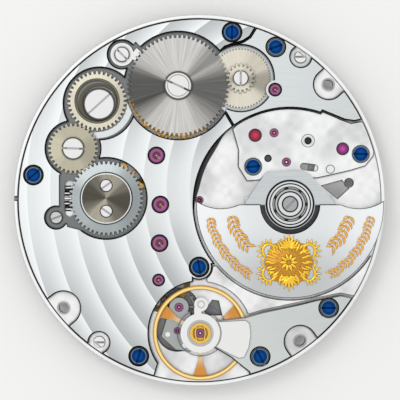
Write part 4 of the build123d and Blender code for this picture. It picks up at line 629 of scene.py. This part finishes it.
def studStones():
    # the two end stones: red on the left, violet on the right, each darkened towards its edge by painted
    # shade
    finish = Finish("endStones", endStone["colour"], endStone["rough"], endStone["metal"])
    share = nearest(finish, rounds["endStones"])
    redStone = painted(finish, share, endStone["red"], endStone["ringSoft"])
    violetStone = painted(finish, share, endStone["violet"], endStone["ringSoft"])
    side = finish.span(finish.spot()[0], *endStone["changeover"])
    finish.wear("Base Color", finish.mix(side, redStone, violetStone))
    return finish.material


balance = {
    "colour": (255, 225, 150), "rough": 0.24,
    "spokeReach": (1.5, 3.0), "innerSpoke": (236, 214, 180), "outerSpoke": (214, 148, 72),
    "rimReach": (3.44, 3.48),
    "rimBands": [(0, (172, 112, 50)), (3.53, (255, 228, 152)), (3.71, (196, 146, 66))], "bandSoft": 0.03,
    "grain": 0.10, "fine": 14.0,
    "wall": 0.32, "gapReach": 0.2, "gapPower": 1.0,
}


def balanceGold():
    # a bright band of painted highlight along the rim between two brown edges of painted shade, and darker
    # spokes
    finish = Finish("balanceGold", balance["colour"], balance["rough"])
    distance = distanceFrom(finish, places["balance"])
    spoke = finish.mix(finish.span(distance, *balance["spokeReach"]), seen(*balance["innerSpoke"]),
                       seen(*balance["outerSpoke"]))
    bands = painted(finish, distance, balance["rimBands"], balance["bandSoft"])
    tint = finish.mix(finish.span(distance, *balance["rimReach"]), spoke, bands)
    bright = turned(finish, places["balance"], balance["grain"], balance["fine"])
    return dressed(finish, bright, balance["wall"], balance["gapReach"], balance["gapPower"], tint)


ringPale, gapShadeBlack = (222, 224, 225), (16, 17, 18)
bearing = {
    "colour": (218, 220, 221), "rough": 0.22,
    "rings": [(0, (170, 174, 174)), (0.56, gapShadeBlack), (0.66, ringPale), (0.93, gapShadeBlack),
              (1.04, (190, 192, 192)), (1.18, gapShadeBlack), (1.42, ringPale), (1.58, gapShadeBlack),
              (1.68, ringPale), (1.80, gapShadeBlack)],
    "ringSoft": 0.015,
    "grain": 0.06, "fine": 14.0,
    "wall": 0.05, "gapReach": 0.12, "gapPower": 0.8,
}


def bearingRings():
    # turned steel rings with black lines of painted shade in the gaps between them
    finish = Finish("bearingRings", bearing["colour"], bearing["rough"])
    tint = painted(finish, distanceFrom(finish, places["rotor"]), bearing["rings"], bearing["ringSoft"])
    bright = turned(finish, places["rotor"], bearing["grain"], bearing["fine"])
    return dressed(finish, bright, bearing["wall"], bearing["gapReach"], bearing["gapPower"], tint)


rotor = {
    "colour": (242, 245, 246), "rough": 0.30,
    "grain": 0.05, "fine": 22.0,
    "drop": (1.2, 6.2), "dropShade": 0.24,       # how far below the rotor's centre it darkens
    "side": (2.0, 6.4), "middleShade": 0.13,     # and how far left and right of it the middle's shade ends
    "grooveReach": (2.34, 2.39), "grooveDark": 0.93,
    "wall": 0.08, "gapReach": 0.3, "gapPower": 1.3,
    "plateColour": (202, 207, 209), "plateRough": 0.26,
    "plateGrain": 0.30, "plateFine": 7.0,
    "plateLineReach": (1.94, 1.97), "plateLineDark": 0.94,
    "plateWall": 0.10,
}


def rotorMetal():
    # white metal: nearly white at both upper ends, with painted shade making it cooler and greyer towards the
    # bottom edge
    # painted shade also greys the middle and blackens the groove round the bearing
    finish = Finish("rotorWhiteMetal", rotor["colour"], rotor["rough"])
    x, y = finish.spot()[:2]
    centreX, centreY = places["rotor"]
    drop = finish.span(centreY - y, *rotor["drop"]) * rotor["dropShade"]
    middle = 1 - finish.span((x - centreX).maths("ABSOLUTE"), *rotor["side"])
    level = brushed(finish, 0.0, rotor["grain"], rotor["fine"]) * (1 - drop - middle * rotor["middleShade"])
    groove = 1 - finish.span(distanceFrom(finish, places["rotor"]), *rotor["grooveReach"])
    bright = level * (1 - groove * rotor["grooveDark"])
    return dressed(finish, bright, rotor["wall"], rotor["gapReach"], rotor["gapPower"])


def rotorPlateMetal():
    # horizontal brushing, with a black line of painted shade round the bearing
    finish = Finish("rotorPlate", rotor["plateColour"], rotor["plateRough"])
    line = 1 - finish.span(distanceFrom(finish, places["rotor"]), *rotor["plateLineReach"])
    bright = brushed(finish, 0.0, rotor["plateGrain"], rotor["plateFine"])
    return dressed(finish, bright * (1 - line * rotor["plateLineDark"]), rotor["plateWall"])


pins = {
    "colour": (236, 237, 236), "rough": 0.2,
    "grain": 0.04, "fine": 14.0,
    "blindShares": (0.95, 1.0), "blindDark": 0.9,
    "wall": 0.3, "gapReach": 0.12, "gapPower": 1.4,
}


def pinSteel():
    # polished pins; the one in the lower blind hole is painted dark as shade
    finish = Finish("pinSteel", pins["colour"], pins["rough"])
    blind = 1 - finish.span(nearest(finish, rounds["lowerBlindHole"]), *pins["blindShares"])
    bright = turned(finish, places["movement"], pins["grain"], pins["fine"]) * (1 - blind * pins["blindDark"])
    return dressed(finish, bright, pins["wall"], pins["gapReach"], pins["gapPower"])


print("making finishes")
steel = smooth("polishedSteel", (238, 238, 237), 0.20)
blued = blueScrew()
ruby = rubyJewel()
gold = smooth("gold", (246, 196, 84), 0.24, wall=0.45, reach=0.12, power=1.2)
brass = smooth("giltBrass", (222, 176, 96), 0.28, wall=0.4)
deepBrass = deepWheel("deepBrass", (214, 168, 92))
ballRace = bearingRings()

finishes = {
    "main_plate": pearledPlate(),
    "barrel_train_bridge": waveBridge(),
    "automatic_bridge": greyBridge("autoGrey", (216, 221, 221), angle=0.0, slope=(0.45, -0.5, 0.16)),
    "rotor_support_bridge": pearledBridge(),
    "balance_cock": greyBridge("cockGrey", (212, 217, 216), angle=14.0, slope=(0.6, 0.2, 0.16), lit=0.8),
    "pallet_bridge": greyBridge("palletGrey", (166, 170, 168), angle=30.0, slope=(0.3, 0.3, 0.1)),
    "index_plate": smooth("indexSteel", (236, 236, 234), 0.22),
    "stud_carrier": steel,
    "ratchet_wheel": fanned("ratchetFan", (170, 169, 166), places["ratchetWheel"],
                            [(96, 64, 0.5), (266, 54, 0.46), (182, 34, -0.74), (352, 38, -0.66),
                             (44, 14, -0.4), (214, 18, -0.3), (310, 20, -0.2)], streak=1.0),
    "crown_wheel": crownRing(),
    "crown_core": crownHub(),
    "small_intermediate_wheel": fanned("smallFan", (186, 181, 160), places["smallWheel"],
                                       [(180, 60, 0.2), (350, 60, -0.2)], streak=0.3),
    "rocking_wheel": fanned("rockingFan", (218, 213, 194), places["rockingWheel"],
                            [(110, 60, 0.12), (0, 50, -0.2)], streak=0.3),
    "auto_reduction_wheel": fanned("autoFan", (206, 201, 186), places["automaticWheel"],
                                   [(110, 50, 0.2), (280, 50, 0.18), (350, 34, -0.4), (190, 28, -0.3)],
                                   streak=0.4),
    "click_wheel": steel,
    "winding_screws": outlined("windingScrews", (236, 235, 236), rounds["windingHeads"]),
    "barrel_arbor": outlined("ratchetScrew", (236, 236, 234), rounds["ratchetHead"]),
    "setting_lever": outlined("settingScrew", (206, 208, 206), rounds["leverHead"]),
    "hairspring": smooth("springSteel", (92, 96, 104), 0.3),
    "rocking_bush": fanned("bushBronze", (122, 118, 100), places["rockingHub"], [(135, 60, -0.2)],
                           streak=0.2),
    "bridge_screws": blued,
    "dog_screws": steel,
    "bridge_jewels": ruby,
    "plate_jewels": ruby,
    "rotor_studs": studStones(),
    "barrel": brass,
    "first_wheel": brass,
    "second_wheel": deepBrass,
    "third_wheel": deepBrass,
    "fourth_wheel": deepBrass,
    "centre_wheel": deepBrass,
    "auto_second_wheel": deepBrass,
    "auto_third_wheel": deepBrass,
    "reverser_wheel": deepWheel("reverserSteel", (168, 170, 168)),
    "escape_wheel": deepWheel("escapeSteel", (190, 192, 190)),
    "pallet_fork": deepWheel("forkSteel", (170, 172, 170)),
    "press_pins": pinSteel(),
    "balance_wheel": balanceGold(),
    "balance_staff": steel,
    "shock_setting": smooth("settingGold", (240, 196, 104), 0.22, wall=0.5),
    "shock_spring": gold,
    "rotor_plate": rotorPlateMetal(),
    "rotor_weight": rotorMetal(),
    "bearing_outer_ring": ballRace,
    "bearing_core": ballRace,
    # the balls get a near-black grey as painted shade in the race
    "bearing_balls": smooth("shadedBallSteel", (64, 66, 68), 0.15, wall=0.4),
}
for nodeName, node in nodes.items():
    node.data.materials.clear()
    node.data.materials.append(finishes.get(nodeName, steel))
print("finishes set on", len(finishes), "nodes")


# gold relief on the rotor

relief = {
    "centre": (7.16, -4.97),
    "base": 2.19,           # foot of the ground plate and of the garlands
    "plateTop": 2.222,      # top of the ground plate
    "plateEdge": 0.02,
}


def linked(name, points, faces, material, body, slotName):
    # one mesh from arrays of points and faces, riding on a body
    mesh = bpy.data.meshes.new(name)
    mesh.from_pydata((np.asarray(points) * mm).tolist(), [], faces)
    mesh.polygons.foreach_set("use_smooth", np.ones(len(mesh.polygons), dtype=bool))
    mesh.materials.append(material)
    piece = bpy.data.objects.new(name, mesh)
    bpy.context.scene.collection.objects.link(piece)
    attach(piece, body)
    return piece


def joined(parts):
    # several point and face lists as one
    points, faces, start = [], [], 0
    for partPoints, partFaces in parts:
        points.append(partPoints)
        faces += [[corner + start for corner in face] for face in partFaces]
        start += len(partPoints)
    return np.concatenate(points), faces


def around(centre, radius, bearings):
    # points on a circle: the centre plus the radius times the cosine and sine of each bearing, in degrees
    turn = np.radians(bearings)
    return np.stack([centre[0] + radius * np.cos(turn), centre[1] + radius * np.sin(turn)], axis=-1)


def evenly(count):
    # bearings all round, in degrees
    return np.arange(count) * 360 / count


def strokes(spines, widths, swell, base):
    # raised strokes: a half-round section, 5 points wide, carried along each spine;
    # a point is the spine plus its normal times width times cos(angle), at base plus height times sin(angle),
    # where the height is the width times swell's first part, plus its second
    count, steps = spines.shape[:2]
    heights = widths * swell[0] + swell[1]
    tiny = 1e-9  # keeps the direction finite where a spine stands still
    ahead = np.gradient(spines, axis=1)
    ahead /= np.linalg.norm(ahead, axis=2, keepdims=True) + tiny
    normals = np.stack([-ahead[..., 1], ahead[..., 0]], axis=-1)
    angles = np.radians([0, 45, 90, 135, 180])
    flat = spines[:, :, None, :] + normals[:, :, None, :] * (widths[..., None] * np.cos(angles))[..., None]
    lift = base + heights[..., None] * np.sin(angles)
    points = np.concatenate([flat, lift[..., None]], axis=-1).reshape(-1, 3)
    index = np.arange(count * steps * len(angles)).reshape(count, steps, len(angles))
    near, far = index[:, :-1], index[:, 1:]
    quads = np.stack([near, far, np.roll(far, -1, axis=2), np.roll(near, -1, axis=2)], axis=-1)
    faces = quads.reshape(-1, 4).tolist()
    faces += index[:, 0].tolist() + index[:, -1, ::-1].tolist()
    return points, faces


leafShape = {
    "start": 0.04, "end": 0.96,    # the stretch of the half sine that gives a leaf its width
    "skew": 0.8,                   # moves the widest place along the leaf
}


def leaves(starts, bearings, length, width, curl, swell, base, steps=7):
    # leaf strokes: each runs from its start along its bearing and turns by curl, its width a skewed half sine
    share = np.linspace(0, 1, steps)
    length, width, curl = (np.broadcast_to(value, len(bearings))[:, None] for value in (length, width, curl))
    turn = np.radians(bearings)[:, None] + np.radians(curl) * share
    moves = np.stack([np.cos(turn), np.sin(turn)], axis=-1) * (length / (steps - 1))[..., None]
    spines = np.asarray(starts)[:, None, :] + np.cumsum(moves, axis=1) - moves[:, :1]
    along = leafShape["start"] + (leafShape["end"] - leafShape["start"]) * share
    return strokes(spines, width * np.sin(np.pi * along ** leafShape["skew"]), swell, base)


ground = {
    "radius": 1.80,
    "lobes": 4, "lobeDepth": 0.14,
    "waves": 16, "waveDepth": 0.04,
    "corners": 96,
}


def groundRadii(bearings):
    # the ground plate's outline: a circle plus the squared cosine of its lobes plus the cosine of its waves
    lobes = ground["lobeDepth"] * np.cos(ground["lobes"] * bearings) ** 2
    return ground["radius"] + lobes + ground["waveDepth"] * np.cos(ground["waves"] * bearings)


def disk(centre, radii, base, top, edge, corners):
    # a low plate: rings at the base, below the edge and inside it, closed by a point at each middle;
    # radii is a function of the bearing
    bearings = np.linspace(0, 2 * np.pi, corners, endpoint=False)
    outer = radii(bearings)
    rings = []
    for reachShare, height in ((1.0, base), (1.0, top - edge), (1 - edge / outer.max(), top)):
        ring = around(centre, outer * reachShare, np.degrees(bearings))
        rings.append(np.column_stack([ring, np.full(corners, height)]))
    points = np.concatenate(rings + [np.array([[*centre, base], [*centre, top]])])
    index = np.arange(corners * len(rings)).reshape(len(rings), -1)
    onward = np.roll(index, -1, axis=1)
    sides = np.stack([index[:-1], onward[:-1], onward[1:], index[1:]], axis=-1).reshape(-1, 4)
    low, high = np.full(corners, len(points) - 2), np.full(corners, len(points) - 1)
    bottom = np.stack([onward[0], index[0], low], axis=-1)
    upper = np.stack([index[-1], onward[-1], high], axis=-1)
    return points, sides.tolist() + bottom.tolist() + upper.tolist()


flower = {
    "petals": 10, "start": 0.16, "length": 0.62, "width": 0.15, "swell": (0.5, 0.01),
    "beads": 26, "beadStart": 0.94, "beadLength": 0.15, "beadWidth": 0.07, "beadSwell": (0.8, 0.0),
    "beadSteps": 4,
}


def beadedFlower():
    # straight petals round the centre, inside a ring of beads
    petals, beads = evenly(flower["petals"]), evenly(flower["beads"])
    return [
        leaves(around(relief["centre"], flower["start"], petals), petals, flower["length"], flower["width"],
               0.0, flower["swell"], relief["plateTop"]),
        leaves(around(relief["centre"], flower["beadStart"], beads), beads, flower["beadLength"],
               flower["beadWidth"], 0.0, flower["beadSwell"], relief["plateTop"], flower["beadSteps"]),
    ]


wreaths = {
    "rows": [(18, 1.02, 0.78, 46.0), (22, 1.32, 0.66, -58.0)],    # leaves, start, length and curl
    "width": 0.11, "swell": (0.5, 0.01),
    "sink": 0.01,     # below the ground plate's top
}


def wreath(count, start, length, curl):
    # a ring of curled leaves, mirrored left and right
    bearings = evenly(count)
    mirror = np.where(np.cos(np.radians(bearings)) < 0, -1.0, 1.0)
    return leaves(around(relief["centre"], start, bearings), bearings - mirror * curl / 2, length,
                  wreaths["width"], mirror * curl, wreaths["swell"], relief["plateTop"] - wreaths["sink"])


palmettes = {
    "leaves": 9, "spread": 72, "away": 1.12,
    "length": 1.22, "shorten": 0.0052,     # and how much shorter a leaf is per degree from the middle
    "curlShare": 0.35,                     # of a leaf's own bearing
    "width": 0.13, "swell": (0.5, 0.015), "lift": 0.01,
}


def palmette(side):
    # leaves fanned out above or below the flower, longest in the middle
    fan = np.linspace(-palmettes["spread"], palmettes["spread"], palmettes["leaves"])
    foot = np.array(relief["centre"]) + (0.0, side * palmettes["away"])
    length = palmettes["length"] - np.abs(fan) * palmettes["shorten"]
    return leaves(np.tile(foot, (len(fan), 1)), side * 90 + fan, length, palmettes["width"],
                  fan * palmettes["curlShare"], palmettes["swell"], relief["base"] + palmettes["lift"])


scrolls = {
    "eye": (1.52, 0.98),                  # from the flower's centre
    "steps": 34, "startAngle": -62, "sweep": 400,
    "radius": 0.66, "shrink": 0.78,
    "width": 0.13, "taper": 0.55,
    "tip": 0.3, "tipGrowth": 10,          # the outer tip's share of the width, and its growth along the turn
    "swell": (0.55, 0.01), "lift": 0.01,
    "leafSteps": (1, 15, 2),              # first, past the last, and from leaf to leaf
    "leafTurn": 30, "leafCurl": 50.0,
    "leafLength": 0.62, "leafShorten": 0.03,
    "leafWidth": 0.10, "leafSwell": (0.6, 0.01), "leafLift": 0.008,
}


def scroll(side, lift):
    # a spiral whose radius shrinks evenly with its turn, and leaves that grow outwards from it
    turn = np.linspace(0, 1, scrolls["steps"])
    angle = np.radians(lift * (scrolls["startAngle"] + scrolls["sweep"] * turn))
    radius = scrolls["radius"] * (1 - scrolls["shrink"] * turn)
    eye = np.array(relief["centre"]) + np.array(scrolls["eye"]) * (side, lift)
    spine = np.stack([eye[0] + side * radius * np.cos(angle), eye[1] + radius * np.sin(angle)], axis=-1)
    widths = scrolls["width"] * (1 - scrolls["taper"] * turn)
    widths = widths * np.minimum(1, scrolls["tipGrowth"] * turn + scrolls["tip"])
    picks = np.arange(*scrolls["leafSteps"])
    outward = np.degrees(np.arctan2(spine[picks, 1] - eye[1], spine[picks, 0] - eye[0]))
    length = scrolls["leafLength"] - scrolls["leafShorten"] * np.arange(len(picks))
    return [
        strokes(spine[None], widths[None], scrolls["swell"], relief["base"] + scrolls["lift"]),
        leaves(spine[picks], outward - side * lift * scrolls["leafTurn"], length, scrolls["leafWidth"],
               side * lift * scrolls["leafCurl"], scrolls["leafSwell"], relief["base"] + scrolls["leafLift"]),
    ]


def ornament():
    # a foliate rosette: a beaded flower in two wreaths, palmettes above and below, and four mirrored scrolls
    parts = beadedFlower()
    parts += [wreath(*row) for row in wreaths["rows"]]
    parts += [palmette(side) for side in (-1, 1)]
    for side in (-1, 1):
        for lift in (-1, 1):
            parts += scroll(side, lift)
    return joined(parts)


garlands = {
    # radius, start and end bearings, leaf length, leaf width and the gap between leaves
    "rows": [(6.50, 190, 239, 0.66, 0.10, 0.30), (4.80, 192, 225, 0.86, 0.12, 0.34),
             (6.50, -9, -59, 0.66, 0.10, 0.30), (4.80, -12, -45, 0.86, 0.12, 0.34)],
    "leafAngle": 80, "leafCurl": 64.0,
    "sizeSwing": 0.18, "swingTurn": 1.7,    # how much the leaves' lengths vary, and how fast along the row
    "swell": (0.6, 0.01),
    "stemWidth": 0.035, "stemSwell": (1.0, 0.0), "stemSteps": 3,
}


def garland(radius, startAngle, endAngle, leafLength, leafWidth, gap):
    # pairs of leaves along an arc round the rotor's centre, with a thin stem between them
    count = int(abs(math.radians(endAngle - startAngle)) * radius / gap)
    angles = np.linspace(startAngle, endAngle, count)
    starts = around(places["rotor"], radius, angles)
    onward = 90 if endAngle > startAngle else -90
    parts = []
    for side in (-1, 1):
        swing = np.sin(np.arange(count) * garlands["swingTurn"] + side)
        length = leafLength * (1 - garlands["sizeSwing"] + garlands["sizeSwing"] * swing)
        bearings = angles + onward + side * garlands["leafAngle"]
        curl = -side * garlands["leafCurl"]
        parts.append(leaves(starts, bearings, length, leafWidth, curl, garlands["swell"], relief["base"]))
    fine = np.linspace(startAngle, endAngle, count * garlands["stemSteps"])
    thin = np.full((1, len(fine)), garlands["stemWidth"])
    stem = around(places["rotor"], radius, fine)
    parts.append(strokes(stem[None], thin, garlands["stemSwell"], relief["base"]))
    return joined(parts)


golds = {
    "reliefColour": (255, 206, 70), "garlandColour": (242, 180, 84), "hollowShade": (150, 84, 42), "rough": 0.22,
    "hollowHeights": (-0.002, 0.035),     # above the relief's base
    "grainScale": 9, "grainBase": 0.8, "grainDepth": 0.42,
    "gapReach": 0.10, "gapPower": 1.4,
    "groundColour": (206, 146, 62), "groundRough": 0.36,
    "stippleScale": 16, "stippleBase": 0.62, "stippleDepth": 0.7,
    "groundGapReach": 0.12, "groundGapPower": 1.3,
    "bumpStrength": 0.5, "bumpDepth": 0.01,
}


def reliefGold(name, colour):
    # bright gold with dark red-brown hollows painted as shade, and painted shade in its gaps
    finish = Finish(name, colour, golds["rough"])
    x, y, z = finish.spot()
    high = finish.span(z, *(relief["base"] + height for height in golds["hollowHeights"]))
    tint = finish.mix(high, seen(*golds["hollowShade"]), finish.colour)
    grain = finish.noise(finish.vector(x * golds["grainScale"], y * golds["grainScale"], 0.0))
    shade = golds["grainBase"] + grain * golds["grainDepth"]
    shade = shade * finish.gapShadeFactor(golds["gapReach"], golds["gapPower"])
    finish.wear("Base Color", finish.scaled(tint, shade))
    return finish.material


def oldGold():
    # the stippled ground behind the relief, in a darker old gold that also stands in for shade between the
    # strokes
    # painted shade darkens its gaps
    finish = Finish("groundGold", golds["groundColour"], golds["groundRough"])
    x, y = finish.spot()[:2]
    stipple = finish.noise(finish.vector(x * golds["stippleScale"], y * golds["stippleScale"], 0.0))
    shade = golds["stippleBase"] + stipple * golds["stippleDepth"]
    shade = shade * finish.gapShadeFactor(golds["groundGapReach"], golds["groundGapPower"])
    finish.wear("Base Color", finish.scaled(finish.colour, shade))
    finish.bumped(stipple, golds["bumpStrength"], golds["bumpDepth"])
    return finish.material


bright = reliefGold("reliefGold", golds["reliefColour"])
slotNames = [material["slot"] for material in frame["record"]["materials"]]
goldSlot = "gold" if "gold" in slotNames else slotNames[0]
groundPlate = disk(relief["centre"], groundRadii, relief["base"], relief["plateTop"], relief["plateEdge"],
                   ground["corners"])
linked("rotor_relief_ground", *groundPlate, oldGold(), "rotor", goldSlot)
linked("rotor_relief", *ornament(), bright, "rotor", goldSlot)
linked("rotor_garlands", *joined([garland(*row) for row in garlands["rows"]]),
       reliefGold("garlandGold", golds["garlandColour"]), "rotor", goldSlot)
print("gold relief made")


# floor, light and camera

studio = {
    "floorReach": 600.0, "floorColour": (247, 247, 246), "floorRough": 0.9,
    "skyStrength": 0.62, "skyRange": (0.0, 0.9), "skyRise": 0.34,
    "lampPlace": (-90.0, 90.0, 220.0), "lampSize": 90.0, "lampEnergy": 0.07,
    "lens": 200.0, "sensorWidth": 36.0,
    "pictureWidth": 32.148,          # at the height in focus
    "pictureCentre": (0.048, 0.016), "focusHeight": 1.24,
    "clipStart": 5.0, "clipEnd": 5000.0,
}

low = cadBox[0]
reach = studio["floorReach"] * mm
floorMesh = bpy.data.meshes.new("floor")
corners = [(-reach, -reach, low[2]), (reach, -reach, low[2]), (reach, reach, low[2]), (-reach, reach, low[2])]
floorMesh.from_pydata(corners, [], [(0, 1, 2, 3)])
floor = bpy.data.objects.new("floor", floorMesh)
bpy.context.scene.collection.objects.link(floor)
floorFinish = Finish("paleFloor", studio["floorColour"], studio["floorRough"], metal=0.0)
floorMesh.materials.append(floorFinish.material)

# a sky that is brighter overhead, and plain white where the camera sees it
world = bpy.data.worlds.new("studio")
bpy.context.scene.world = world
world.use_nodes = True
sky = Graph(world.node_tree)
height = sky.parts(sky.node("ShaderNodeTexCoord"))[2]
strength = studio["skyStrength"] + sky.span(height, *studio["skyRange"]) * studio["skyRise"]
cameraRay = sky.node("ShaderNodeLightPath")
background = world.node_tree.nodes["Background"]
background.inputs["Color"].default_value = (1, 1, 1, 1)
sky.feed(background.inputs["Strength"], strength.maths("MAXIMUM", cameraRay))

lamp = bpy.data.lights.new("softKey", "AREA")
lamp.shape = "DISK"
lamp.size = studio["lampSize"] * mm
lamp.energy = studio["lampEnergy"]
lampPlace = bpy.data.objects.new("softKey", lamp)
bpy.context.scene.collection.objects.link(lampPlace)
lampPlace.location = [part * mm for part in studio["lampPlace"]]
lampPlace.rotation_euler = lampPlace.location.to_track_quat("Z", "Y").to_euler()

camera = bpy.data.cameras.new("photoCamera")
camera.lens = studio["lens"]
camera.sensor_width = studio["sensorWidth"]
camera.clip_start = studio["clipStart"] * mm
camera.clip_end = studio["clipEnd"] * mm
distance = studio["pictureWidth"] * camera.lens / camera.sensor_width + studio["focusHeight"]
cameraPlace = bpy.data.objects.new("photoCamera", camera)
bpy.context.scene.collection.objects.link(cameraPlace)
cameraPlace.location = [part * mm for part in (*studio["pictureCentre"], distance)]
bpy.context.scene.camera = cameraPlace
bpy.context.scene.view_settings.view_transform = "Standard"
print("stage set")
